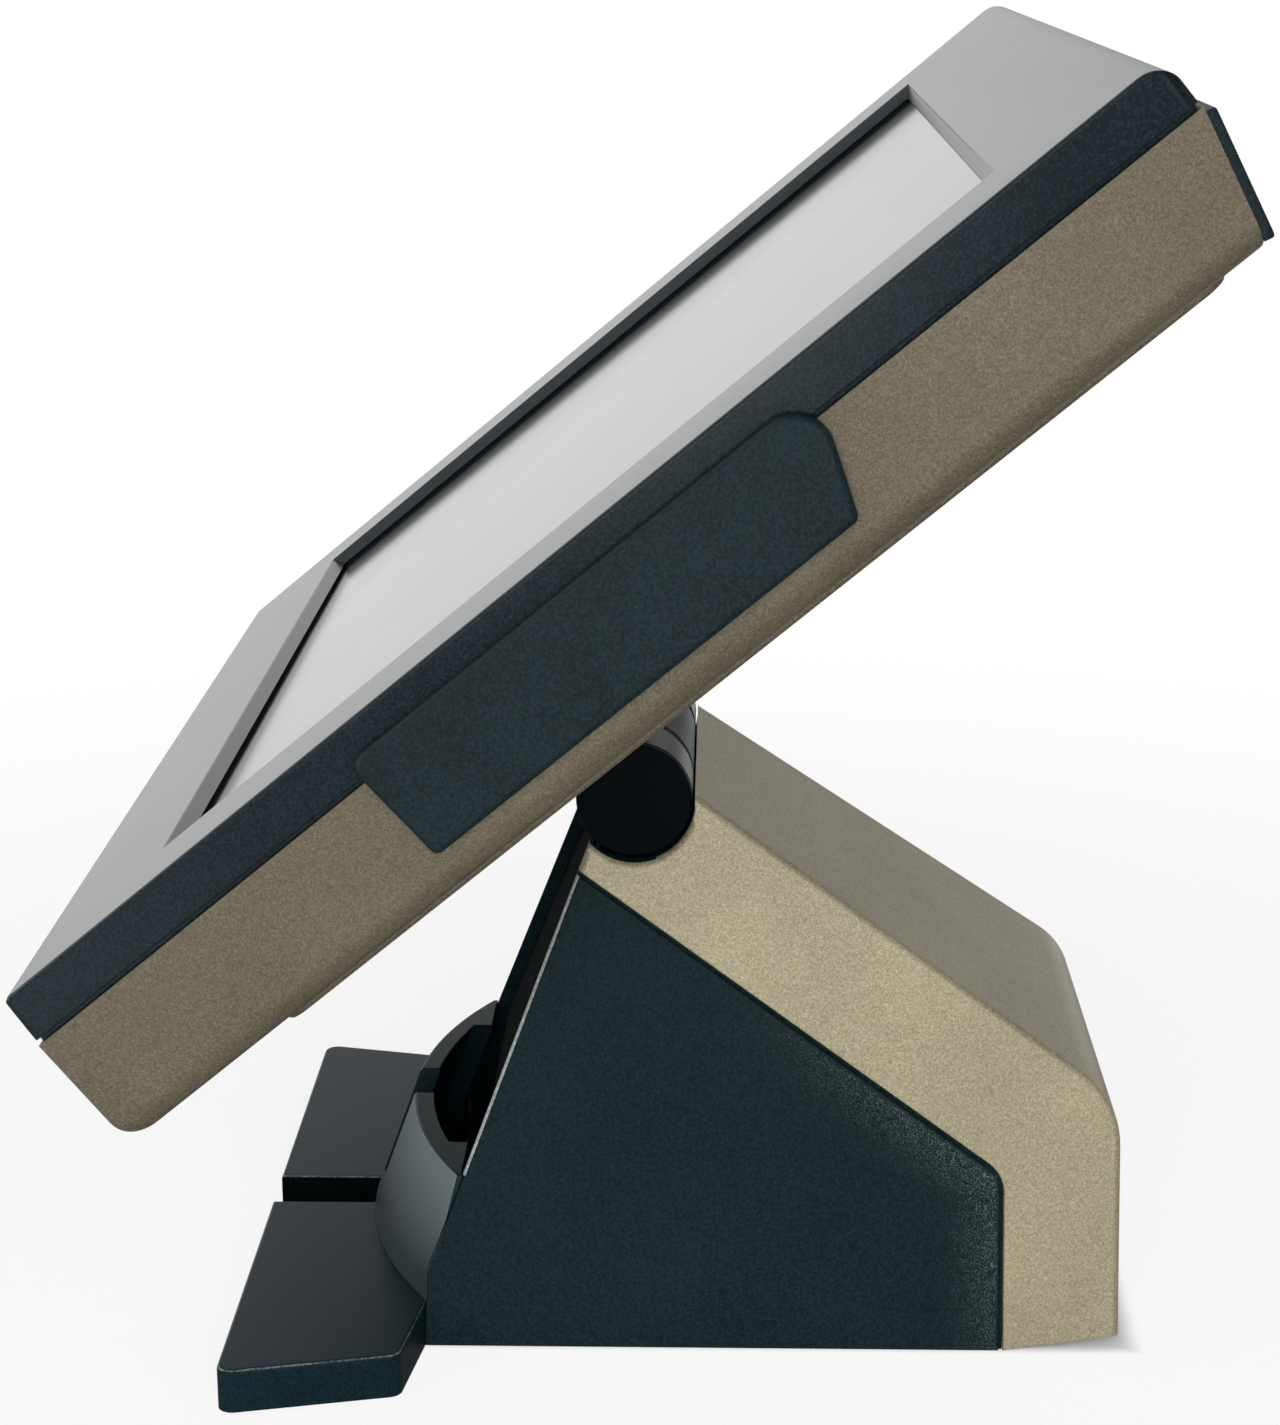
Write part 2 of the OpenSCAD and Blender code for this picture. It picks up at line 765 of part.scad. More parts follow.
module port(slot) {
  port_box(slot, port_w, port_h, 0, back_v - 0.5, board_back);
}

module port_mouth(slot, w, h, du) {
  port_box(slot, w, h, du, back_v - 1, back_v - 0.5 + mouth_d);
}

module io_plate() {
  color(steel) in_head() difference() {
    box([io_lo[0] - io_edge, io_lo[1] - io_edge, inner_back],
      [io_hi[0] + io_edge, io_hi[1] + io_edge, inner_back + io_plate_t]);
    for (i = [0:ports - 1])
      port_box(i, port_w + 2 * fit, port_h + 2 * fit, 0, inner_back - 1, inner_back + io_plate_t + 1);
  }
}

module usb_ports() {
  color(silver) in_head() for (i = [0, 1]) difference() {
    port(i);
    for (s = [-1, 1]) port_mouth(i, 12.4, 5, s * 4.8);
  }
}

module network_port() {
  color(silver) in_head() difference() {
    port(2);
    port_mouth(2, 11.7, 8, -2);
    port_mouth(2, 6, 4, 3);
  }
}

module serial_ports() {
  color("#1b1d1f") in_head() for (i = [3, 4]) difference() {
    port(i);
    port_mouth(i, 11, 8, -2);
    port_mouth(i, 5, 4, 3);
  }
}

module video_port() {
  color("#1b1d1f") in_head() difference() {
    port(5);
    port_mouth(5, 5, 16.5, 0);
  }
}

module power_button() {
  color(black) in_head() translate([button_x, low, button_v]) rotate([-90, 0, 0]) {
    translate([0, 0, -button_proud]) cylinder(r = button_r, h = button_proud + wall + 0.5);
    translate([0, 0, wall]) cylinder(r = button_r + 1.6, h = flange_t);
    translate([0, 0, wall + 1]) cylinder(r = stem_r, h = stem_l - 1);
  }
}

module power_switch() {
  color("#1b1d1f") in_head() translate([button_x, low + wall + stem_l + button_travel + button_gap, 0])
    box([-6, 0, button_v - 5], [6, 9, chassis_back]);
}

module hinge_bracket() {
  color("#3a3f42") in_head() difference() {
    union() {
      translate([0, pivot_up, cover_v - plate_t]) linear_extrude(plate_t)
        round_rect(plate_s, plate_s, 6);
      translate([0, pivot_up, 0]) along_x(knuckle_w) {
        polygon([
          [-neck_half, cover_v - 1], [neck_half, cover_v - 1],
          [barrel_r - 2, 3 - pivot_back], [2 - barrel_r, 3 - pivot_back]
        ]);
        translate([0, -pivot_back]) circle(barrel_r);
      }
    }
    translate([0, pivot_up, -pivot_back]) rod(shaft_r + run_gap + bush_t, -knuckle_w, knuckle_w);
    at_each(plate_xu) pin(bolt_r + fit, cover_v - plate_t - 1, cover_v + 1);
  }
}

module hinge_screws() {
  color(silver) in_head() at_each(plate_xu) {
    pin(bolt_r, cover_v - plate_t, inner_back + bolt_l);
    pin(bolt_head_r, cover_v - plate_t - bolt_head_h, cover_v - plate_t);
  }
}

module hinge_bushes() {
  color(copper) on_hinge() both_sides() difference() {
    rod(shaft_r + run_gap + bush_t, knuckle_w / 2 - bush_l, knuckle_w / 2);
    rod(shaft_r + run_gap, 0, knuckle_w);
  }
}

module housing_screws() {
  color(silver) in_head() at_each(housing_xu) {
    pin(screw_r, back_v + sink_h, chassis_v);
    pin(screw_head_r, back_v + sink_h - screw_head_h, back_v + sink_h);
  }
}

module cover_screws() {
  color(silver) in_head() at_each(cover_xu) {
    pin(screw_r, cover_v + screw_head_h, inner_back + cover_post_h - 2);
    pin(screw_head_r, cover_v, cover_v + screw_head_h);
  }
}

// Space between the stand's flared sides, set in from them
module flared(inset) {
  lower = half_w(-base_z) - inset;
  upper = half_w(sky) - inset;
  along_y(far) polygon([[-lower, -base_z], [lower, -base_z], [upper, sky], [-upper, sky]]);
}

// Layer of the right side wall between two depths
module side_layer(t0, t1) {
  lower = half_w(-base_z);
  upper = half_w(sky);
  along_y(far) polygon([
    [lower - t1, -base_z], [lower - t0, -base_z], [upper - t0, sky], [upper - t1, sky]
  ]);
}

// Side view of the stand
module stand_outline() {
  back = stand_back;
  ridge = barrel_r / 2;
  rounded([
    [front_y(base_z, 0), base_z], [back - band_back, base_z], [back, base_z + rear_lift],
    [back, roof_z(back, 0)], [ridge, roof_z(ridge, 0)], [0, hinge_z],
    [front_y(hinge_z - ridge, 0), hinge_z - ridge], each knee(0, base_z)
  ], [0, 0, 0, roof_r, 0, 0, 0, 0]);
}

module stand_hollow() {
  inset = shell_out + shell_in;
  back = stand_back - inset;
  top = roof_z(-barrel_r, inset);
  rounded(
    [[-far, -base_z], [back, -base_z], [back, roof_z(back, inset)], [-barrel_r, top], [-far, top]],
    [0, 0, roof_r - inset, 0, 0]);
}

// Side view of the panel's recess, set in at roof and back, and from the front slope
module panel_outline(inset, near, foot) {
  edge = band_roof + inset;
  back = stand_back - band_back - inset;
  top = front_top(edge, near);
  rounded([
    [front_y(foot, near), foot], [back, foot], [back, roof_z(back, edge)], [front_y(top, near), top],
    each knee(near, foot)
  ], [0, 0, max(panel_r - inset, 1), 0, 0]);
}

module panel_recess() {
  panel_outline(0, -30, base_z - 1);
}

// Side view of the front cover: a strip along the front slope
module front_strip(near, deep, z0, z1) {
  polygon([
    [front_y(z0, near), z0], [front_y(z0, deep), z0], each knee(deep, z0),
    [front_y(z1, deep), z1], [front_y(z1, near), z1], each knee(near, z0)
  ]);
}

module stand_shell() {
  color(bronze) difference() {
    union() {
      difference() {
        intersection() {
          along_x(far) stand_outline();
          flared(0);
        }
        intersection() {
          along_x(far) stand_hollow();
          flared(shell_out + shell_in);
        }
      }
      at_each(base_xy) translate([0, 0, plate_top])
        box([-base_boss, -base_boss, 0], [base_boss, base_boss, base_boss_h]);
      intersection() {
        for (p = base_xy) both_sides() translate([abs(p[0]), p[1], plate_top])
          if (p[1] > 0) box([-1, 0, 0], [1, stand_back - shell_out - p[1], base_boss_h]);
          else box([0, -1, 0], [half_w(0) - abs(p[0]), 1, base_boss_h]);
        flared(shell_out);
      }
    }
    intersection() {
      box([-far, -far, -base_z], [far, stand_back - shell_out, plate_top]);
      flared(shell_out);
    }
    intersection() {
      along_x(far) front_strip(-past, front_back + front_t, -base_z, hinge_z);
      flared(shell_out);
    }
    both_sides() intersection() {
      along_x(far) panel_recess();
      side_layer(-1, shell_out);
    }
    along_x(far) intersection() {
      panel_recess();
      union() {
        front_strip(-past, front_back + front_t, -base_z, hinge_z);
        translate([-far, -base_z]) square([far + stand_back - band_back, plate_top + base_z]);
      }
    }
    along_x(far) panel_outline(access_in, access_in + front_t, plate_top + base_boss_h + access_in);
    on_hinge() rod(barrel_r + barrel_gap, -far, far);
    inlet_box(fit, supply_back + fit, stand_back + past);
    at_each(base_xy) pin(screw_r, 0, plate_top + base_grip + past);
  }
}

module panel() {
  intersection() {
    along_x(far) panel_outline(panel_gap, 0, base_z);
    side_layer(0, shell_out);
  }
  intersection() {
    along_x(far) panel_outline(fit, 0, base_z);
    side_layer(panel_t, shell_out);
  }
}

module side_panel_right() {
  color(black) panel();
}

module side_panel_left() {
  color(black) mirror([1, 0, 0]) panel();
}

module front_cover() {
  color(black) difference() {
    intersection() {
      along_x(far) front_strip(front_back, front_back + front_t, cup_rim, hinge_z);
      flared(shell_out + fit);
    }
    on_hinge() rod(barrel_r + barrel_gap, -far, far);
    box([-ear_out - 2, -far, hinge_z - neck_drop], [ear_out + 2, far, sky]);
  }
}

// Upright drum whose front is the cup's wall
module cup_drum(r) {
  translate([0, cup_r / cos(cup_lean) - cup_front, foot_top]) rotate([-cup_lean, 0, 0])
    translate([0, 0, -cup_r]) cylinder(r = r, h = 2 * cup_r);
}

module cable_cup() {
  color(black) difference() {
    intersection() {
      cup_drum(cup_r);
      along_x(far) polygon([
        [-far, foot_top], [front_y(foot_top, 0), foot_top], each knee(0, foot_top),
        [front_y(cup_rim, 0), cup_rim], [-far, cup_rim]
      ]);
      flared(0);
    }
    intersection() {
      cup_drum(cup_r - cup_wall);
      box([-cup_mouth / 2, -far, foot_top + cup_floor], [cup_mouth / 2, 0, cup_rim + past]);
    }
    box([-groove_w / 2, -far, foot_top + cup_floor], [groove_w / 2, 0, cup_rim + past]);
  }
}

module base_foot() {
  wide = half_w(plate_top) - shell_out - fit;
  narrow = half_w(plate_top) - plate_in;
  color(black) difference() {
    union() {
      translate([0, 0, base_z]) linear_extrude(foot_t) rounded([
        [-foot_half_front, -foot_front], [foot_half_front, -foot_front],
        [foot_half_rear, foot_back - foot_chamfer], [half_w(0) - 1, foot_back],
        [1 - half_w(0), foot_back], [-foot_half_rear, foot_back - foot_chamfer]
      ], [foot_r, foot_r, foot_r, 0, 0, foot_r]);
      translate([0, 0, base_z]) linear_extrude(floor_t) polygon([
        [-wide, foot_back - past], [wide, foot_back - past], [wide, stand_back - band_back],
        [narrow, stand_back - band_back], [narrow, stand_back - plate_in], [-narrow, stand_back - plate_in],
        [-narrow, stand_back - band_back], [-wide, stand_back - band_back]
      ]);
      at_each(fix_xy) pin(fix_boss_r, base_z, plate_top + fix_boss_h);
    }
    box([-groove_w / 2, -far, base_z + groove_floor], [groove_w / 2, foot_back + past, sky]);
    at_each(fix_xy) pin(fix_r, -1, plate_top + fix_boss_h + 1);
    at_each(pad_xy) pin(pad_r, -1, base_z + pad_in);
    at_each(frame_xy) pin(screw_r, base_z + 0.6, plate_top + 1);
    at_each(base_xy) {
      pin(screw_r + fit, 0, plate_top + 1);
      pin(screw_head_r + fit, 0, base_z + screw_head_h);
    }
  }
}

module rubber_feet() {
  color("#17191a") at_each(pad_xy) pin(pad_r, 0, base_z + pad_in);
}

module stand_frame() {
  color(steel) difference() {
    union() {
      box([-frame_half, -frame_front, plate_top], [frame_half, frame_back, plate_top + frame_t]);
      both_sides() translate([(ear_in + ear_out) / 2, 0, 0]) along_x(ear_t) {
        polygon([
          [-24, plate_top + 1], [20, plate_top + 1], [11, hinge_z - 4], [-4, hinge_z - 4],
          [-6, hinge_z - neck_drop - 2]
        ]);
        translate([0, hinge_z]) circle(barrel_r - barrel_gap);
      }
    }
    on_hinge() rod(shaft_r, -far, far);
    at_each(frame_xy) pin(screw_r + fit, plate_top - 1, plate_top + frame_t + 1);
  }
}

module hinge_shaft() {
  color(silver) on_hinge() rod(shaft_r, -shaft_half, shaft_half);
}

module friction_washers() {
  color(copper) on_hinge() both_sides() difference() {
    rod(barrel_r - 2, ear_in - washer_t, ear_in);
    rod(shaft_r, 0, far);
  }
}

module spring_washers() {
  rim = barrel_r - sleeve_t - 1;
  rise = spring_h - spring_t;
  color(steel) on_hinge() both_sides() rotate([0, 90, 0]) rotate_extrude() {
    translate([0, ear_out])
      polygon([[shaft_r, rise], [rim, 0], [rim, spring_t], [shaft_r, spring_h]]);
    translate([0, ear_out + spring_h])
      polygon([[shaft_r, 0], [rim, rise], [rim, spring_h], [shaft_r, spring_t]]);
  }
}

module shaft_nuts() {
  color(silver) on_hinge() both_sides() difference() {
    translate([nut_x, 0, 0]) rotate([0, 90, 0]) cylinder(r = nut_r, h = nut_h, $fn = 6);
    rod(shaft_r, 0, far);
  }
}

module sleeve() {
  on_hinge() difference() {
    rod(barrel_r, ear_out, cap_in);
    rod(barrel_r - sleeve_t, 0, far);
  }
}

module hinge_sleeve_right() {
  color(black) sleeve();
}

module hinge_sleeve_left() {
  color(black) mirror([1, 0, 0]) sleeve();
}

module end_cap() {
  on_hinge() {
    rod(barrel_r - fit, cap_in, cap_out);
    rod(barrel_r - sleeve_t, cap_in - sleeve_lap, cap_in + 1);
  }
}

module hinge_cap_right() {
  color("#17191a") end_cap();
}

module hinge_cap_left() {
  color("#17191a") mirror([1, 0, 0]) end_cap();
}

module power_supply() {
  color("#6d7276")
    box([-supply_w / 2, supply_front, plate_top], [supply_w / 2, supply_back, plate_top + supply_h]);
}

// Block with the inlet's outline, larger by a margin
module inlet_box(more, y0, y1) {
  box([-inlet_w / 2 - more, y0, inlet_z - more], [inlet_w / 2 + more, y1, inlet_z + inlet_h + more]);
}

module power_inlet() {
  mouth = stand_back - 0.5;
  color("#1b1d1f") difference() {
    inlet_box(0, supply_back, mouth);
    inlet_box(-inlet_wall, mouth - inlet_depth, stand_back);
  }
  color(silver) translate([0, mouth, inlet_z + inlet_h / 2]) for (p = [[-7, -2], [7, -2], [0, 2]])
    box([p[0] - 1, -inlet_depth - 1, p[1] - 2], [p[0] + 1, -5, p[1] + 2]);
}

module frame_screws() {
  color(silver) at_each(frame_xy) {
    pin(screw_r, base_z + 0.8, plate_top + frame_t);
    pin(screw_head_r, plate_top + frame_t, plate_top + frame_t + screw_head_h);
  }
}

module base_screws() {
  color(silver) at_each(base_xy) {
    pin(screw_r, base_z + screw_head_h, plate_top + base_grip);
    pin(screw_head_r, base_z, base_z + screw_head_h);
  }
}

front_bezel();
screen_gasket();
touch_glass();
lcd_panel();
rear_housing();
rear_cover();
top_cover();
side_cover();
chassis_plate();
main_board();
processor();
heat_sink();
memory_module();
storage_drive();
touch_controller();
speaker();
io_plate();
usb_ports();
network_port();
serial_ports();
video_port();
power_button();
power_switch();
hinge_bracket();
hinge_bushes();
chassis_screws();
board_screws();
housing_screws();
cover_screws();
hinge_screws();
stand_shell();
side_panel_right();
side_panel_left();
front_cover();
cable_cup();
base_foot();
rubber_feet();
stand_frame();
hinge_shaft();
friction_washers();
spring_washers();
shaft_nuts();
hinge_sleeve_right();
hinge_sleeve_left();
hinge_cap_right();
hinge_cap_left();
power_supply();
power_inlet();
frame_screws();
base_screws();
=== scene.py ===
import json
import math

import bmesh
import bpy
from mathutils import Matrix, Vector


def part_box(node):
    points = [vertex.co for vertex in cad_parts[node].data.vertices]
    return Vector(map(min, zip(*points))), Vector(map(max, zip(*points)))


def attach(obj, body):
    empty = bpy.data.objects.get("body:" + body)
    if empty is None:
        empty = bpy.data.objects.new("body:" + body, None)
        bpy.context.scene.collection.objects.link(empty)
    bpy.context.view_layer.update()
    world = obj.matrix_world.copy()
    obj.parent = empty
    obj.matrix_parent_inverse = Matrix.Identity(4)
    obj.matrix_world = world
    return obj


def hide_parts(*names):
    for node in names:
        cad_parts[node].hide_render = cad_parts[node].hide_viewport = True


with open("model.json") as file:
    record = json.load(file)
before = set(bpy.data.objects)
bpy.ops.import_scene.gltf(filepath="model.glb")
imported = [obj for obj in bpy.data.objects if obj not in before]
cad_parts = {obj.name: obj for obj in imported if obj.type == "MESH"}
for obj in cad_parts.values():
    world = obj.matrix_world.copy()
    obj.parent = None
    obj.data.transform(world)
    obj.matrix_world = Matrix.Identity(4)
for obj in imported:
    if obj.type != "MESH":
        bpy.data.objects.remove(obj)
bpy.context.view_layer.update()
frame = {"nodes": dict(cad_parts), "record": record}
nodes = frame["nodes"]
slotOf = {part["node"]: part["material_slot"] for part in frame["record"]["subparts"]}
bodyOf = {name: body for body, names in frame["record"]["behaviour"]["bodies"].items() for name in names}
scene = bpy.context.scene
scene.view_settings.view_transform = "Standard"
print("frame:", len(nodes), "nodes")


def mm(size):
    return size / 1000


def perMm(size):  # texture scale that gives features of this many millimetres
    return 1000 / size


def linear(code):  # sRGB hex to linear rgba
    parts = [int(code[i:i + 2], 16) / 255 for i in (1, 3, 5)]
    return (*[c / 12.92 if c <= 0.04045 else ((c + 0.055) / 1.055) ** 2.4 for c in parts], 1)


def addNode(tree, kind, settings=None, links=None, **attributes):
    node = tree.nodes.new(kind)
    for name, value in attributes.items():
        setattr(node, name, value)
    for socket, value in (settings or {}).items():
        node.inputs[socket].default_value = value
    for socket, source in (links or {}).items():
        tree.links.new(source, node.inputs[socket])
    return node


def emptyMaterial(name):
    material = bpy.data.materials.new(name)
    material.use_nodes = True
    material.node_tree.nodes.clear()
    return material, material.node_tree


# Camera: a long lens, a little above the screen, square to the terminal's right side
cameraSet = {
    "lens": 76.29,
    "sensor": 36,
    "place": (830.77, 23.39, 384.89),
    "yaw": -1.592,
    "pitch": 15.096,
    "roll": -0.192,
}


def placeCamera(look):
    yaw, pitch, roll = (math.radians(look[k]) for k in ("yaw", "pitch", "roll"))
    ahead = Vector((-math.cos(yaw) * math.cos(pitch), math.sin(yaw) * math.cos(pitch), -math.sin(pitch)))
    right = ahead.cross(Vector((0, 0, 1))).normalized()
    up = right.cross(ahead)
    turned = math.cos(roll) * right + math.sin(roll) * up
    up = math.cos(roll) * up - math.sin(roll) * right
    data = bpy.data.cameras.new("sideCamera")
    data.lens = look["lens"]
    data.sensor_width = look["sensor"]
    data.clip_start, data.clip_end = 0.01, 50
    camera = bpy.data.objects.new("sideCamera", data)
    scene.collection.objects.link(camera)
    basis = Matrix((turned, up, -ahead)).transposed().to_4x4()
    camera.matrix_world = Matrix.Translation(Vector(look["place"]) / 1000) @ basis
    scene.camera = camera


placeCamera(cameraSet)
print("camera placed")

# Studio: white paper sweep to the left and the front, a dimmer room to the right and behind
studioSet = {
    "paper": "#f4f4f2",
    "ambient": 0.26,
    "dimRoom": 0.1,
    "whiteSide": (-0.6, -0.8, 0.0),
    "roomSweep": (0.15, 0.7),
    "floorSweep": (-0.5, 0.1),
    "floorHalf": 4.0,
    "nearWhite": 0.85,  # how white the camera sees the paper beside the stand
    "nearMirror": 0.15,  # painted shadow: gloss sees the paper dimmer beside the stand, standing in for its shadow
    "fadeFrom": 0.25,
    "fadeTo": 0.8,
    "underMiddle": (0, 0.041, 0),
    "underHalf": (0.077, 0.1),  # the paper under the stand stays in shade
    "underEdge": 0.92,
    "lamps": {
        "keySoftbox": {
            "place": (1.35, -0.25, 0.42), "aim": (0, 0.03, 0.12), "size": 0.8, "watts": 1.8},
        "keyFill": {
            "place": (1.12, 0.06, 0.4), "aim": (0, 0.03, 0.12), "size": 0.7, "watts": 7.4, "soft": True},
        "sideSoftbox": {
            "place": (1.1, 0.75, 0.8), "aim": (0, 0.05, 0.15), "size": 0.6, "watts": 0.5},
        "frontSoftbox": {
            "place": (0.5, -1.3, 0.4), "aim": (0, -0.05, 0.1), "size": 0.6, "watts": 2.5},
        "topSoftbox": {
            "place": (0.3, -0.5, 1.5), "aim": (0, 0, 0.1), "size": 1.2, "watts": 1.0},
        "backFill": {
            "place": (-0.5, 1.3, 0.14), "aim": (0, 0, 0.2), "size": 0.7, "watts": 4.2, "soft": True},
        "leftFill": {
            "place": (-1.3, -0.1, 0.4), "aim": (0, 0, 0.15), "size": 0.7, "watts": 5.0, "soft": True},
    },
}


def buildWorld(look):
    world = bpy.data.worlds.new("paperStudio")
    scene.world = world
    world.use_nodes = True
    tree = world.node_tree
    tree.nodes.clear()
    path = addNode(tree, "ShaderNodeLightPath")
    seen = addNode(tree, "ShaderNodeMath", {}, {
        0: path.outputs["Is Camera Ray"], 1: path.outputs["Is Transmission Ray"]}, operation="MAXIMUM")
    place = addNode(tree, "ShaderNodeTexCoord")
    along = addNode(tree, "ShaderNodeVectorMath", {1: look["whiteSide"]}, {
        0: place.outputs["Generated"]}, operation="DOT_PRODUCT")
    sweep = addNode(tree, "ShaderNodeMapRange", {
        "From Min": look["roomSweep"][0], "From Max": look["roomSweep"][1], "To Min": look["dimRoom"]},
        {"Value": along.outputs["Value"]}, interpolation_type="SMOOTHSTEP")
    glossy = addNode(tree, "ShaderNodeMix", {2: look["ambient"]}, {
        0: path.outputs["Is Glossy Ray"], 3: sweep.outputs[0]})
    strength = addNode(tree, "ShaderNodeMix", {3: 1.0}, {0: seen.outputs[0], 2: glossy.outputs[0]})
    light = addNode(tree, "ShaderNodeBackground", {"Color": (1, 1, 1, 1)}, {"Strength": strength.outputs[0]})
    addNode(tree, "ShaderNodeOutputWorld", {}, {"Surface": light.outputs[0]})


def buildFloor(look):
    half = look["floorHalf"]
    data = bpy.data.meshes.new("paperFloor")
    corners = [(-half, -half, 0), (half, -half, 0), (half, half, 0), (-half, half, 0)]
    data.from_pydata(corners, [], [(0, 1, 2, 3)])
    floor = bpy.data.objects.new("paperFloor", data)
    scene.collection.objects.link(floor)
    material, tree = emptyMaterial("mattePaper")  # soft white paper that turns into the background
    place = addNode(tree, "ShaderNodeTexCoord")
    reach = addNode(tree, "ShaderNodeVectorMath", {}, {0: place.outputs["Object"]}, operation="LENGTH")
    fade = addNode(tree, "ShaderNodeMapRange", {
        "From Min": look["fadeFrom"], "From Max": look["fadeTo"], "To Min": look["nearWhite"]},
        {"Value": reach.outputs["Value"]}, interpolation_type="SMOOTHSTEP")
    path = addNode(tree, "ShaderNodeLightPath")
    along = addNode(tree, "ShaderNodeVectorMath", {1: look["whiteSide"]}, {
        0: place.outputs["Object"]}, operation="DOT_PRODUCT")
    sweep = addNode(tree, "ShaderNodeMapRange", {
        "From Min": look["floorSweep"][0], "From Max": look["floorSweep"][1], "To Min": look["dimRoom"]},
        {"Value": along.outputs["Value"]}, interpolation_type="SMOOTHSTEP")
    seen = addNode(tree, "ShaderNodeMath", {}, {
        0: path.outputs["Is Camera Ray"], 1: path.outputs["Is Transmission Ray"]}, operation="MAXIMUM")
    spot = addNode(tree, "ShaderNodeVectorMath", {1: look["underMiddle"]}, {
        0: place.outputs["Object"]}, operation="SUBTRACT")
    sides = addNode(tree, "ShaderNodeVectorMath", {}, {0: spot.outputs[0]}, operation="ABSOLUTE")
    ratio = addNode(tree, "ShaderNodeVectorMath", {1: (*look["underHalf"], 1)}, {
        0: sides.outputs[0]}, operation="DIVIDE")
    split = addNode(tree, "ShaderNodeSeparateXYZ", {}, {0: ratio.outputs[0]})
    far = addNode(tree, "ShaderNodeMath", {}, {
        0: split.outputs["X"], 1: split.outputs["Y"]}, operation="MAXIMUM")
    outside = addNode(tree, "ShaderNodeMapRange", {"From Min": look["underEdge"]}, {
        "Value": far.outputs[0]}, interpolation_type="SMOOTHSTEP")
    clear = addNode(tree, "ShaderNodeMath", {}, {
        0: fade.outputs[0], 1: outside.outputs[0]}, operation="MULTIPLY")
    white = addNode(tree, "ShaderNodeMath", {}, {
        0: clear.outputs[0], 1: seen.outputs[0]}, operation="MULTIPLY")
    paper = addNode(tree, "ShaderNodeBsdfDiffuse", {"Color": linear(look["paper"]), "Roughness": 0.6})
    glow = addNode(tree, "ShaderNodeEmission", {"Color": (1, 1, 1, 1), "Strength": 1.0})
    mixed = addNode(tree, "ShaderNodeMixShader", {}, {
        0: white.outputs[0], 1: paper.outputs[0], 2: glow.outputs[0]})
    near = addNode(tree, "ShaderNodeMapRange", {
        "From Min": look["fadeFrom"], "From Max": look["fadeTo"], "To Min": look["nearMirror"]},
        {"Value": reach.outputs["Value"]}, interpolation_type="SMOOTHSTEP")
    shown = addNode(tree, "ShaderNodeMath", {}, {
        0: sweep.outputs[0], 1: near.outputs[0]}, operation="MULTIPLY")
    mirrored = addNode(tree, "ShaderNodeEmission", {"Color": (1, 1, 1, 1)}, {"Strength": shown.outputs[0]})
    whole = addNode(tree, "ShaderNodeMixShader", {}, {
        0: path.outputs["Is Glossy Ray"], 1: mixed.outputs[0], 2: mirrored.outputs[0]})
    addNode(tree, "ShaderNodeOutputMaterial", {}, {"Surface": whole.outputs[0]})
    data.materials.append(material)


def hangLamps(look):
    for name, lamp in look["lamps"].items():
        data = bpy.data.lights.new(name, "AREA")
        data.shape = "SQUARE"
        data.size = lamp["size"]
        data.energy = lamp["watts"]
        box = bpy.data.objects.new(name, data)
        scene.collection.objects.link(box)
        box.location = lamp["place"]
        box.visible_camera = False
        box.visible_glossy = not lamp.get("soft")  # a fill leaves no highlight
        toward = Vector(lamp["aim"]) - Vector(lamp["place"])
        box.rotation_euler = toward.to_track_quat("-Z", "Y").to_euler()


buildWorld(studioSet)
buildFloor(studioSet)
hangLamps(studioSet)
print("studio lit")

noiseSpan = (0.3, 0.7)  # nearly all of a noise's values lie between these


# Bronze paint over ABS: metal flake under a satin binder, grainy close up and darker at a glancing view
def flakePaint(name, look):
    material, tree = emptyMaterial(name)
    place = addNode(tree, "ShaderNodeTexCoord")
    at = place.outputs["Object"]
    flakes = addNode(tree, "ShaderNodeTexVoronoi", {"Scale": perMm(look["flake"])}, {"Vector": at})
    spark = addNode(tree, "ShaderNodeSeparateColor", {}, {0: flakes.outputs["Color"]})
    cloud = addNode(tree, "ShaderNodeTexNoise", {
        "Scale": perMm(look["cloud"]), "Detail": 3.0}, {"Vector": at})
    grain = addNode(tree, "ShaderNodeTexNoise", {
        "Scale": perMm(look["grain"]), "Detail": 2.0}, {"Vector": at})
    speck = addNode(tree, "ShaderNodeMix", {0: look["grainShare"]}, {
        2: spark.outputs[0], 3: grain.outputs["Fac"]})
    tone = addNode(tree, "ShaderNodeValToRGB", {}, {"Fac": speck.outputs[0]})
    stops = tone.color_ramp.elements
    darkest, middling, lightest = look["stops"]
    stops[0].position, stops[0].color = darkest, linear(look["dark"])
    stops[1].position, stops[1].color = lightest, linear(look["light"])
    middle = stops.new(middling)
    middle.color = linear(look["body"])
    patch = addNode(tree, "ShaderNodeMapRange", {
        "From Min": noiseSpan[0], "From Max": noiseSpan[1], "To Min": look["patch"][0],
        "To Max": look["patch"][1]}, {"Value": cloud.outputs["Fac"]})
    colour = addNode(tree, "ShaderNodeVectorMath", {}, {
        0: tone.outputs["Color"], "Scale": patch.outputs[0]}, operation="SCALE")
    rough = addNode(tree, "ShaderNodeMapRange", {
        "To Min": look["rough"][0], "To Max": look["rough"][1]}, {"Value": spark.outputs[1]})
    bump = addNode(tree, "ShaderNodeBump", {"Strength": 0.6, "Distance": mm(look["relief"])},
                   {"Height": speck.outputs[0]})
    paint = addNode(tree, "ShaderNodeBsdfPrincipled", {
        "Metallic": look["metal"], "IOR": 1.5, "Coat Weight": look["coat"],
        "Coat Roughness": look["coatRough"]}, {
        "Base Color": colour.outputs[0], "Roughness": rough.outputs[0], "Normal": bump.outputs[0]})
    addNode(tree, "ShaderNodeOutputMaterial", {}, {"Surface": paint.outputs[0]})
    return material


cloudShare = 0.2  # mostly pebble, with a little slow change of tone
pebbleStops = (0.41, 0.6)
rubSpan = (0.66, 0.78)  # only the peaks of the noise count as rubs


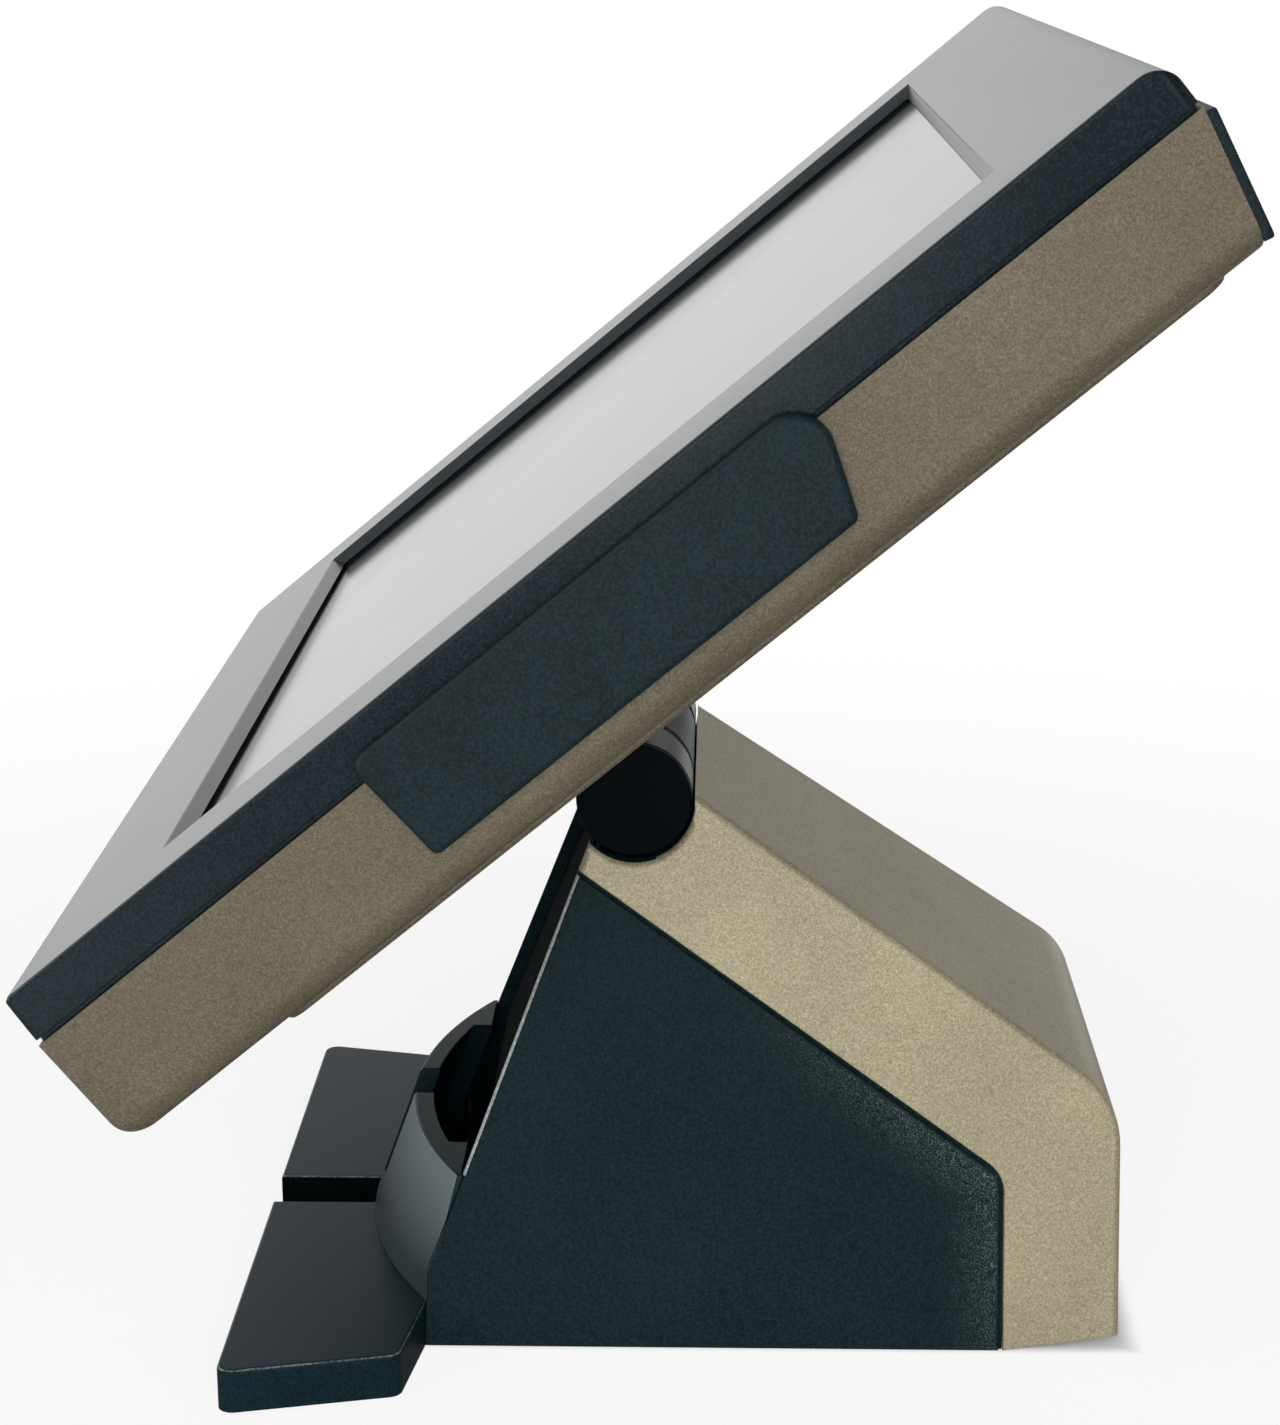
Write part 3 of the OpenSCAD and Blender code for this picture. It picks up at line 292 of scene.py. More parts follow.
# ABS moulded against a spark-eroded tool: an even pebble that breaks up the sheen, with faint rubs.
# The pebble is finer on the real one, and is drawn coarse enough to show
def mouldedAbs(name, look):
    material, tree = emptyMaterial(name)
    place = addNode(tree, "ShaderNodeTexCoord")
    at = place.outputs["Object"]
    pebble = addNode(tree, "ShaderNodeTexNoise", {
        "Scale": perMm(look["grain"]), "Detail": 2.0, "Roughness": 0.55}, {"Vector": at})
    cloud = addNode(tree, "ShaderNodeTexNoise", {
        "Scale": perMm(look["cloud"]), "Detail": 4.0}, {"Vector": at})
    mixed = addNode(tree, "ShaderNodeMix", {0: cloudShare}, {
        2: pebble.outputs["Fac"], 3: cloud.outputs["Fac"]})
    tone = addNode(tree, "ShaderNodeValToRGB", {}, {"Fac": mixed.outputs[0]})
    stops = tone.color_ramp.elements
    stops[0].position, stops[0].color = pebbleStops[0], linear(look["dark"])
    stops[1].position, stops[1].color = pebbleStops[1], linear(look["light"])
    rubs = addNode(tree, "ShaderNodeTexNoise", {
        "Scale": perMm(look["rub"]), "Detail": 6.0, "Roughness": 0.7}, {"Vector": at})
    worn = addNode(tree, "ShaderNodeMapRange", {
        "From Min": rubSpan[0], "From Max": rubSpan[1], "To Max": look["wear"]}, {
        "Value": rubs.outputs["Fac"]})
    colour = addNode(tree, "ShaderNodeMix", {7: linear(look["rubbed"])}, {
        0: worn.outputs[0], 6: tone.outputs["Color"]}, data_type="RGBA")
    if "sheen" in look:  # painted sheen: pale specks around the upper rear corner, where light would catch the pebble
        upward = addNode(tree, "ShaderNodeVectorMath", {1: look["sheenUp"]}, {
            0: at}, operation="DOT_PRODUCT")
        below = addNode(tree, "ShaderNodeMath", {0: look["sheenTop"]}, {
            1: upward.outputs["Value"]}, operation="SUBTRACT")
        sides = addNode(tree, "ShaderNodeSeparateXYZ", {}, {0: at})
        ahead = addNode(tree, "ShaderNodeMath", {0: look["sheenRear"]}, {
            1: sides.outputs["Y"]}, operation="SUBTRACT")
        inset = addNode(tree, "ShaderNodeMath", {}, {
            0: below.outputs[0], 1: ahead.outputs[0]}, operation="MINIMUM")
        flat = addNode(tree, "ShaderNodeVectorMath", {1: (0, 1, 1)}, {0: at}, operation="MULTIPLY")
        away = addNode(tree, "ShaderNodeVectorMath", {1: look["sheenCorner"]}, {
            0: flat.outputs[0]}, operation="DISTANCE")
        speck = addNode(tree, "ShaderNodeTexNoise", {
            "Scale": perMm(look["sheenGrain"]), "Detail": 2.0}, {"Vector": at})
        lit = addNode(tree, "ShaderNodeMapRange", {
            "From Min": look["sheenSpan"][0], "From Max": look["sheenSpan"][1]}, {
            "Value": speck.outputs["Fac"]})
        fromEdge, fromCorner = inset.outputs[0], away.outputs["Value"]
        for source, start, end in (
                (fromEdge, look["sheenWidth"], 0),
                (fromEdge, look["sheenWidth"], 0),  # once more, for a softer fall
                (fromEdge, *look["sheenLip"]),  # the rounded lip stays dark
                (fromCorner, look["sheenReach"], 0)):
            share = addNode(tree, "ShaderNodeMapRange", {
                "From Min": mm(start), "From Max": mm(end)}, {
                "Value": source}, interpolation_type="SMOOTHSTEP")
            lit = addNode(tree, "ShaderNodeMath", {}, {
                0: lit.outputs[0], 1: share.outputs[0]}, operation="MULTIPLY")
        colour = addNode(tree, "ShaderNodeMix", {7: linear(look["sheen"])}, {
            0: lit.outputs[0], 6: colour.outputs[2]}, data_type="RGBA")
    if "highlightColour" in look:  # painted highlight: paler toward the top, standing in for the light the upper wall catches
        height = addNode(tree, "ShaderNodeSeparateXYZ", {}, {0: at})
        rise = addNode(tree, "ShaderNodeMapRange", {
            "From Min": mm(look["highlightFrom"]), "From Max": mm(look["highlightTo"])}, {
            "Value": height.outputs["Z"]})
        colour = addNode(tree, "ShaderNodeMix", {7: linear(look["highlightColour"])}, {
            0: rise.outputs[0], 6: colour.outputs[2]}, data_type="RGBA")
    rough = addNode(tree, "ShaderNodeMapRange", {
        "From Min": noiseSpan[0], "From Max": noiseSpan[1], "To Min": look["rough"][0],
        "To Max": look["rough"][1]}, {"Value": mixed.outputs[0]})
    bump = addNode(tree, "ShaderNodeBump", {"Strength": 0.7, "Distance": mm(look["relief"])},
                   {"Height": pebble.outputs["Fac"]})
    shell = addNode(tree, "ShaderNodeBsdfPrincipled", {
        "IOR": 1.53, "Specular IOR Level": look["shine"]}, {
        "Base Color": colour.outputs[2], "Roughness": rough.outputs[0], "Normal": bump.outputs[0]})
    addNode(tree, "ShaderNodeOutputMaterial", {}, {"Surface": shell.outputs[0]})
    return material


# Touch panel: a hazed film over glass over a dark display, so several faces mirror the room at a low angle
def hazedGlass(name, look):
    material, tree = emptyMaterial(name)
    place = addNode(tree, "ShaderNodeTexCoord")
    at = place.outputs["Object"]
    haze = addNode(tree, "ShaderNodeTexNoise", {
        "Scale": perMm(look["haze"]), "Detail": 2.0}, {"Vector": at})
    smear = addNode(tree, "ShaderNodeTexNoise", {
        "Scale": perMm(look["smear"]), "Detail": 5.0, "Distortion": 1.2}, {"Vector": at})
    rough = addNode(tree, "ShaderNodeMapRange", {
        "From Min": look["span"][0], "From Max": look["span"][1], "To Min": look["rough"][0],
        "To Max": look["rough"][1]}, {"Value": smear.outputs["Fac"]})
    colour = addNode(tree, "ShaderNodeMix", {6: linear(look["dark"]), 7: linear(look["light"])}, {
        0: smear.outputs["Fac"]}, data_type="RGBA")
    bump = addNode(tree, "ShaderNodeBump", {"Strength": 0.25, "Distance": mm(look["relief"])},
                   {"Height": haze.outputs["Fac"]})
    pane = addNode(tree, "ShaderNodeBsdfPrincipled", {
        "IOR": 1.5, "Coat Weight": look["coat"], "Coat Roughness": look["coatRough"], "Coat IOR": 1.5}, {
        "Base Color": colour.outputs[2], "Roughness": rough.outputs[0], "Normal": bump.outputs[0]})
    addNode(tree, "ShaderNodeOutputMaterial", {}, {"Surface": pane.outputs[0]})
    return material


# Metals: plated, turned, cast or folded, told apart by tint, streaks and gloss
def workedMetal(name, look):
    material, tree = emptyMaterial(name)
    place = addNode(tree, "ShaderNodeTexCoord")
    stretch = addNode(tree, "ShaderNodeMapping", {"Scale": look["stretch"]}, {
        "Vector": place.outputs["Object"]})
    at = stretch.outputs[0]
    streak = addNode(tree, "ShaderNodeTexNoise", {
        "Scale": perMm(look["streak"]), "Detail": 3.0}, {"Vector": at})
    cloud = addNode(tree, "ShaderNodeTexNoise", {
        "Scale": perMm(look["cloud"]), "Detail": 4.0}, {"Vector": at})
    mixed = addNode(tree, "ShaderNodeMix", {0: 0.5}, {2: streak.outputs["Fac"], 3: cloud.outputs["Fac"]})
    colour = addNode(tree, "ShaderNodeMix", {6: linear(look["dark"]), 7: linear(look["light"])}, {
        0: mixed.outputs[0]}, data_type="RGBA")
    rough = addNode(tree, "ShaderNodeMapRange", {
        "From Min": noiseSpan[0], "From Max": noiseSpan[1], "To Min": look["rough"][0],
        "To Max": look["rough"][1]}, {"Value": mixed.outputs[0]})
    bump = addNode(tree, "ShaderNodeBump", {"Strength": 0.3, "Distance": mm(look["relief"])},
                   {"Height": streak.outputs["Fac"]})
    metal = addNode(tree, "ShaderNodeBsdfPrincipled", {"Metallic": look["metal"]}, {
        "Base Color": colour.outputs[2], "Roughness": rough.outputs[0], "Normal": bump.outputs[0]})
    addNode(tree, "ShaderNodeOutputMaterial", {}, {"Surface": metal.outputs[0]})
    return material


# Circuit board: solder mask over copper tracks that run square to each other
def solderMask(name, look):
    material, tree = emptyMaterial(name)
    place = addNode(tree, "ShaderNodeTexCoord")
    at = place.outputs["Object"]
    tracks = addNode(tree, "ShaderNodeTexVoronoi", {"Scale": perMm(look["track"])}, {"Vector": at},
                     distance="CHEBYCHEV", feature="DISTANCE_TO_EDGE")
    line = addNode(tree, "ShaderNodeMapRange", {
        "From Min": look["edge"][0], "From Max": look["edge"][1]}, {"Value": tracks.outputs["Distance"]})
    colour = addNode(tree, "ShaderNodeMix", {6: linear(look["light"]), 7: linear(look["dark"])}, {
        0: line.outputs[0]}, data_type="RGBA")
    bump = addNode(tree, "ShaderNodeBump", {"Strength": 0.5, "Distance": mm(look["relief"])}, {
        "Height": line.outputs[0]}, invert=True)
    mask = addNode(tree, "ShaderNodeBsdfPrincipled", {"Roughness": look["rough"], "IOR": 1.55}, {
        "Base Color": colour.outputs[2], "Normal": bump.outputs[0]})
    addNode(tree, "ShaderNodeOutputMaterial", {}, {"Surface": mask.outputs[0]})
    return material


# One bronze paint in two copies: the head's darker as painted shade, the stand's lighter as painted light
# The flake is really about 0.05 mm, and is drawn seven or eight times as coarse so that it shows
headShadedPaint = {
    "dark": "#625b4b", "body": "#756d5b", "light": "#8a826d", "stops": (0.18, 0.52, 0.86),
    "flake": 0.36, "grain": 0.7, "grainShare": 0.45, "cloud": 26, "patch": (0.93, 1.06),
    "rough": (0.42, 0.54), "relief": 0.012, "metal": 0.45, "coat": 0.1, "coatRough": 0.35,
}
standLitPaint = {
    "dark": "#a79d7f", "body": "#c1b898", "light": "#dbd2b2", "stops": (0.18, 0.52, 0.86),
    "flake": 0.4, "grain": 0.8, "grainShare": 0.45, "cloud": 30, "patch": (0.93, 1.06),
    "rough": (0.42, 0.54), "relief": 0.02, "metal": 0.45, "coat": 0.6, "coatRough": 0.35,
}
bezelAbs = {
    "dark": "#0d181d", "light": "#17262d", "rubbed": "#3a454a", "grain": 0.7, "cloud": 35, "rub": 9,
    "rough": (0.2, 0.23), "relief": 0.025, "shine": 0.46, "wear": 0.12,
}
panelAbs = {
    "dark": "#0f1e22", "light": "#1a2e32", "rubbed": "#334145", "grain": 0.8, "cloud": 40, "rub": 12,
    "rough": (0.42, 0.54), "relief": 0.09, "shine": 0.12, "wear": 0.08,
}
roofSlope = math.radians(35)
roofOut = Vector((0, math.sin(roofSlope), math.cos(roofSlope)))  # out of the stand's roof
panelTop = max(vert.co.dot(roofOut) for vert in nodes["side_panel_right"].data.vertices)
panelRear = max(vert.co.y for vert in nodes["side_panel_right"].data.vertices)
# Painted sheen for the side panels: a pale speckled band along the upper and rear edges, fading away from the
# corner
panelSheen = {
    "sheen": "#72837f", "sheenWidth": 24, "sheenLip": (1.0, 2.4), "sheenReach": 100,
    "sheenGrain": 0.42, "sheenSpan": (0.5, 0.7),
    "sheenUp": roofOut, "sheenTop": panelTop, "sheenRear": panelRear,
    "sheenCorner": Vector((0, panelRear, (panelTop - panelRear * roofOut.y) / roofOut.z)),
}
coverAbs = {
    "dark": "#111e22", "light": "#1b2b2f", "rubbed": "#5d686c", "grain": 0.8, "cloud": 22, "rub": 6,
    "rough": (0.42, 0.54), "relief": 0.09, "shine": 0.2, "wear": 0.3,
}
footAbs = {
    "dark": "#0e2026", "light": "#182e35", "rubbed": "#38454a", "grain": 0.6, "cloud": 30, "rub": 10,
    "rough": (0.36, 0.48), "relief": 0.06, "shine": 0.13, "wear": 0.1,
}
cupAbs = {
    "dark": "#0f1f24", "light": "#192d32", "rubbed": "#3e4b50", "grain": 0.7, "cloud": 24, "rub": 8,
    "rough": (0.42, 0.52), "relief": 0.05, "shine": 0.2, "wear": 0.1,
}
# The cup's outer wall, with a painted highlight that grows paler toward the top
cupWallAbs = {
    "dark": "#0d1e23", "light": "#172c31", "rubbed": "#3e4b50", "grain": 0.7, "cloud": 24, "rub": 8,
    "rough": (0.42, 0.52), "relief": 0.05, "shine": 0.32, "wear": 0.1,
    "highlightColour": "#6b7779", "highlightFrom": 18, "highlightTo": 44,
}
# Front cover, also used in the foot's cable groove: matte, and darker than the other black mouldings as
# painted shade for the recesses they sit in
coverShadedMatte = {
    "dark": "#05090a", "light": "#0a1012", "rubbed": "#1b2224", "grain": 1.0, "cloud": 20, "rub": 8,
    "rough": (0.8, 0.95), "relief": 0.05, "shine": 0.02, "wear": 0.05,
}
# Painted highlight: pale grey for the side panels' rounded front edges
edgeHighlightLook = {
    "dark": "#868e8e", "light": "#bcc2c0", "rubbed": "#d2d6d3", "grain": 0.8, "cloud": 15, "rub": 4,
    "rough": (0.28, 0.4), "relief": 0.02, "shine": 0.5, "wear": 0.3,
}
# Painted highlight: a paler edge for the foot's rounded top and the cup's seam
footHighlightLook = {
    "dark": "#2a383c", "light": "#76827f", "rubbed": "#a4aca9", "grain": 0.9, "cloud": 9, "rub": 3,
    "rough": (0.3, 0.42), "relief": 0.02, "shine": 0.5, "wear": 0.5,
}
hingeAbs = {
    "dark": "#03070a", "light": "#070e12", "rubbed": "#1a2225", "grain": 0.5, "cloud": 18, "rub": 6,
    "rough": (0.34, 0.46), "relief": 0.015, "shine": 0.1, "wear": 0.08,
}
sleeveAbs = {
    "dark": "#060b0e", "light": "#0c1519", "rubbed": "#1a2225", "grain": 0.5, "cloud": 18, "rub": 6,
    "rough": (0.3, 0.4), "relief": 0.015, "shine": 0.3, "wear": 0.08,
}
portAbs = {
    "dark": "#15171a", "light": "#202327", "rubbed": "#3a3f43", "grain": 0.4, "cloud": 8, "rub": 3,
    "rough": (0.35, 0.5), "relief": 0.01, "shine": 0.4, "wear": 0.1,
}
chipEpoxy = {
    "dark": "#2b2f33", "light": "#3c4146", "rubbed": "#5a6066", "grain": 0.3, "cloud": 10, "rub": 4,
    "rough": (0.45, 0.6), "relief": 0.01, "shine": 0.4, "wear": 0.1,
}
sealRubber = {
    "dark": "#0d0f10", "light": "#161819", "rubbed": "#2a2d2f", "grain": 0.6, "cloud": 12, "rub": 5,
    "rough": (0.65, 0.8), "relief": 0.02, "shine": 0.3, "wear": 0.1,
}
padRubber = {
    "dark": "#131415", "light": "#1e2021", "rubbed": "#6d6a64", "grain": 0.9, "cloud": 6, "rub": 4,
    "rough": (0.7, 0.9), "relief": 0.05, "shine": 0.3, "wear": 0.35,
}
touchPane = {
    "dark": "#2b302f", "light": "#3a403e", "haze": 0.5, "smear": 60, "span": (0.35, 0.75),
    "rough": (0.135, 0.165), "relief": 0.004, "coat": 0.48, "coatRough": 0.1,
}
displayFilm = {
    "dark": "#14171a", "light": "#202428", "haze": 0.3, "smear": 90, "span": (0.35, 0.75),
    "rough": (0.2, 0.3), "relief": 0.002, "coat": 0.48, "coatRough": 0.1,
}
bracketCoat = {
    "dark": "#2a2f32", "light": "#3a4043", "rubbed": "#5c6367", "grain": 1.2, "cloud": 20, "rub": 7,
    "rough": (0.42, 0.55), "relief": 0.06, "shine": 0.45, "wear": 0.15,
}
zincSteel = {
    "dark": "#8f969b", "light": "#b9c0c4", "streak": 1.5, "cloud": 14, "stretch": (1, 1, 1),
    "rough": (0.32, 0.48), "relief": 0.01, "metal": 0.9,
}
screwSteel = {
    "dark": "#7b8085", "light": "#b4babf", "streak": 0.4, "cloud": 3, "stretch": (1, 1, 1),
    "rough": (0.25, 0.4), "relief": 0.01, "metal": 1.0,
}
shaftSteel = {
    "dark": "#9da3a8", "light": "#d2d7da", "streak": 0.25, "cloud": 10, "stretch": (4, 1, 1),
    "rough": (0.14, 0.25), "relief": 0.005, "metal": 1.0,
}
bushBronze = {
    "dark": "#8d5a30", "light": "#c48a4f", "streak": 0.4, "cloud": 5, "stretch": (1, 1, 1),
    "rough": (0.3, 0.45), "relief": 0.015, "metal": 1.0,
}
sinkAluminium = {
    "dark": "#a9aeb1", "light": "#d3d7d9", "streak": 0.6, "cloud": 20, "stretch": (1, 6, 1),
    "rough": (0.28, 0.4), "relief": 0.01, "metal": 1.0,
}
supplySteel = {
    "dark": "#7d8386", "light": "#a6acae", "streak": 6, "cloud": 18, "stretch": (1, 1, 1),
    "rough": (0.35, 0.5), "relief": 0.01, "metal": 0.9,
}
portSteel = {
    "dark": "#9fa5a9", "light": "#cfd4d7", "streak": 0.5, "cloud": 6, "stretch": (1, 3, 1),
    "rough": (0.2, 0.32), "relief": 0.006, "metal": 1.0,
}
boardMask = {
    "dark": "#14482f", "light": "#1f6b45", "track": 4, "edge": (0.04, 0.09), "rough": 0.35, "relief": 0.04,
}
goldFlash = {
    "dark": "#b88a33", "light": "#e6c36a", "streak": 0.3, "cloud": 3, "stretch": (1, 1, 1),
    "rough": (0.2, 0.3), "relief": 0.004, "metal": 1.0,
}

finishes = {
    "bezel_black": mouldedAbs("bezelAbs", bezelAbs),
    "head_bronze": flakePaint("headBronzeShadedCopy", headShadedPaint),
    "stand_bronze": flakePaint("standBronzeLitCopy", standLitPaint),
    "panel_black": mouldedAbs("panelAbs", panelAbs),
    "cover_black": mouldedAbs("coverAbs", coverAbs),
    "foot_black": mouldedAbs("footAbs", footAbs),
    "hinge_black": mouldedAbs("hingeAbs", hingeAbs),
    "bracket_grey": mouldedAbs("bracketPowderCoat", bracketCoat),
    "seal_rubber": mouldedAbs("sealRubber", sealRubber),
    "pad_rubber": mouldedAbs("padRubber", padRubber),
    "touch_glass": hazedGlass("touchPane", touchPane),
    "display": hazedGlass("displayFilm", displayFilm),
    "zinc_steel": workedMetal("zincPlatedSteel", zincSteel),
    "screw_steel": workedMetal("nickelPlatedScrew", screwSteel),
    "shaft_steel": workedMetal("groundShaftSteel", shaftSteel),
    "bush_bronze": workedMetal("sinteredBronze", bushBronze),
    "board_green": solderMask("boardSolderMask", boardMask),
    "chip_grey": mouldedAbs("chipEpoxy", chipEpoxy),
    "sink_aluminium": workedMetal("extrudedAluminium", sinkAluminium),
    "supply_metal": workedMetal("galvanisedCase", supplySteel),
    "port_metal": workedMetal("nickelPortShell", portSteel),
    "port_black": mouldedAbs("portAbs", portAbs),
}
finishOf = {name: finishes[slotOf[name]] for name in nodes}
sheenFinish = mouldedAbs("edgeLitPanelAbs", {**panelAbs, **panelSheen})
finishOf["cable_cup"] = mouldedAbs("cupAbs", cupAbs)
finishOf["front_cover"] = mouldedAbs("frontCoverShadedAbs", coverShadedMatte)
sleeveFinish = mouldedAbs("sleeveAbs", sleeveAbs)
for side in ("right", "left"):
    finishOf["hinge_sleeve_" + side] = sleeveFinish
    finishOf["side_panel_" + side] = sheenFinish
edgeHighlightFinish = mouldedAbs("absEdgePaintedHighlight", edgeHighlightLook)
footHighlightFinish = mouldedAbs("footEdgePaintedHighlight", footHighlightLook)
cupHighlightFinish = mouldedAbs("cupWallPaintedHighlight", cupWallAbs)
for name, solid in nodes.items():
    solid.data.materials.clear()
    solid.data.materials.append(finishOf[name])
print("finishes:", len(finishes))


def addPiece(name, data, node=None, body=None):
    piece = bpy.data.objects.new(name, data)
    scene.collection.objects.link(piece)
    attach(piece, body or bodyOf[node])
    if node:
        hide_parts(node)
    return piece


def plainMesh(piece, name):  # the evaluated mesh, with its modifiers used up
    view = bpy.context.evaluated_depsgraph_get()
    data = bpy.data.meshes.new_from_object(piece.evaluated_get(view))
    data.name = name
    old = piece.data
    bpy.data.objects.remove(piece)
    bpy.data.meshes.remove(old)
    return data


weldGap = mm(0.002)
smoothAngle = math.radians(32)
edgeSet = {"steps": 3, "leastTurn": 35, "flat": 0.1, "mergeGap": 0.001}  # degrees and millimetres


# Moulded edges: each outer edge gets its radius, picked by the way its two faces look
def easedCopy(name, look):
    node = look["node"]
    work = bmesh.new()
    work.from_mesh(nodes[node].data)
    bmesh.ops.remove_doubles(work, verts=work.verts, dist=weldGap)
    if "nudge" in look:
        for vert in work.verts:
            vert.co += look["nudge"](vert.co)
    bmesh.ops.dissolve_limit(
        work, angle_limit=math.radians(edgeSet["flat"]), verts=work.verts, edges=work.edges)
    for radius, wanted in look["rounds"]:
        picked = []
        for edge in work.edges:
            if len(edge.link_faces) != 2 or not edge.is_convex:
                continue
            first, second = (face.normal for face in edge.link_faces)
            middle = (edge.verts[0].co + edge.verts[1].co) / 2
            turn = math.degrees(first.angle(second, 0))
            if turn <= edgeSet["leastTurn"]:
                continue
            if wanted(first, second, middle) or wanted(second, first, middle):
                picked.append(edge)
        bmesh.ops.bevel(
            work, geom=picked, offset=mm(radius), offset_type="OFFSET", segments=edgeSet["steps"],
            profile=0.5, affect="EDGES", clamp_overlap=False, miter_outer="ARC")
    bmesh.ops.remove_doubles(work, verts=work.verts, dist=mm(edgeSet["mergeGap"]))
    if "cutAt" in look:
        everything = list(work.verts) + list(work.edges) + list(work.faces)
        level = (0, 0, mm(look["cutAt"]))
        bmesh.ops.bisect_plane(work, geom=everything, plane_co=level, plane_no=(0, 0, 1))
    data = bpy.data.meshes.new(name)
    data.materials.append(finishOf[node])
    for index, (wanted, finish) in enumerate(look.get("extras", ()), 1):
        data.materials.append(finish)
        for face in work.faces:
            if wanted(face):
                face.material_index = index
    work.to_mesh(data)
    work.free()
    data.shade_smooth()
    data.set_sharp_from_angle(angle=smoothAngle)
    rough = bpy.data.objects.new(name + "Work", data)
    scene.collection.objects.link(rough)
    even = rough.modifiers.new("evenNormals", "WEIGHTED_NORMAL")
    even.keep_sharp = True
    return addPiece(name, plainMesh(rough, name), node)


headTilt = math.radians(39.5)
screenOut = Vector((0, -math.sin(headTilt), math.cos(headTilt)))  # out of the screen
screenUp = Vector((0, math.cos(headTilt), math.sin(headTilt)))  # up the screen


def isSide(normal):
    return abs(normal.x) > 0.9


def notSide(normal):
    return abs(normal.x) < 0.2


# The stand's own sizes by which its faces are told apart, in millimetres, the flare in degrees
standSet = {
    "halfAtAxis": 48.7, "axisHeight": 149, "flare": 10.8, "crestOverAxis": 10.5, "back": 132.5,
    "frontKnee": 22, "panelSeat": 1.2, "frontSeat": 2.6, "wall": 3.2, "nearFace": 0.06,
}
cupSet = {"rim": 47.5, "rimFrom": 47, "seat": 13.5, "seamTop": 15}
footSet = {"top": 13, "grooveHalf": 9.1, "grooveEnd": -57}
cornerSet = {"shift": -0.45, "below": 2, "ahead": -56.5}  # the panels' lower front corners
inletSet = {"pinsAcross": 8.2, "pinsUp": 4.2, "depth": 13.5}
coverRim = 160  # the back panel's edges lie further out than this
halfAtAxis, axisHeight, standBack = (mm(standSet[key]) for key in ("halfAtAxis", "axisHeight", "back"))
flare, roofFall = math.tan(math.radians(standSet["flare"])), math.tan(roofSlope)
roofCrest = axisHeight + mm(standSet["crestOverAxis"]) * math.hypot(1, roofFall)
frontKnee = mm(standSet["frontKnee"])
inletLow, inletHigh = (Vector(corner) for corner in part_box("power_inlet"))
inletMiddle = (inletLow.z + inletHigh.z) / 2
inletFloor = inletHigh.y - mm(inletSet["depth"])


def onStandSide(point):  # on the stand's outer side faces
    gap = abs(point.x) - halfAtAxis - (axisHeight - point.z) * flare
    return abs(gap) < mm(standSet["nearFace"])


def bareOrGapShade(face):  # the shell's inside, left unpainted, and the floor and walls of the panel's recess, made black as painted shade in the gap round the panel
    middle, normal = face.calc_center_median(), face.normal
    sideDepth = halfAtAxis + (axisHeight - middle.z) * flare - abs(middle.x)
    roofDepth = (roofCrest - middle.y * roofFall - middle.z) / math.hypot(1, roofFall)
    depth = min(roofDepth, standBack - middle.y)
    if isSide(normal) or normal.x * middle.x > 0 and abs(normal.x) > 0.3:
        return normal.x * middle.x < 0 or sideDepth > mm(standSet["panelSeat"])
    if normal.y < -0.3:
        return sideDepth > mm(standSet["frontSeat"])
    return normal.z < -0.3 or depth > mm(standSet["wall"])


def highlitFrontEdge(face):  # painted highlight: the rounded front edge above the cup, coloured pale for the light it catches
    above = face.calc_center_median().z > mm(cupSet["rim"])
    return above and 0.2 < abs(face.normal.x) < 0.93 and face.normal.y < -0.3


def seatOnFoot(point):  # the panel's lower front corner closes on the foot's back
    atCorner = point.z < mm(cornerSet["below"]) and point.y < mm(cornerSet["ahead"])
    return Vector((0, mm(cornerSet["shift"]) if atCorner else 0, 0))


def inletPin(face):  # the three pins stand inside the socket
    middle = face.calc_center_median()
    level = abs(middle.z - inletMiddle) < mm(inletSet["pinsUp"])
    return abs(middle.x) < mm(inletSet["pinsAcross"]) and level and middle.y > inletFloor


def highlitFootTop(face):  # painted highlight on the foot's rounded top edge
    return 0.3 < face.normal.z < 0.9


def inGroove(face):  # the cable groove between the foot's halves, made near-black as painted shade
    middle = face.calc_center_median()
    inward = min(face.normal.y, face.normal.z) > -0.3
    return inward and middle.y < mm(footSet["grooveEnd"]) and abs(middle.x) < mm(footSet["grooveHalf"])


def cupWall(face):  # the cup's bulged outside, which takes the painted highlight
    above = face.calc_center_median().z > mm(cupSet["seat"])
    return above and face.normal.y < -0.3 and abs(face.normal.z) < 0.6


def highlitCupSeam(face):  # painted highlight on the cup's lower edge, where it sits on the foot
    return -0.95 < face.normal.z < -0.3 and face.calc_center_median().z < mm(cupSet["seamTop"])


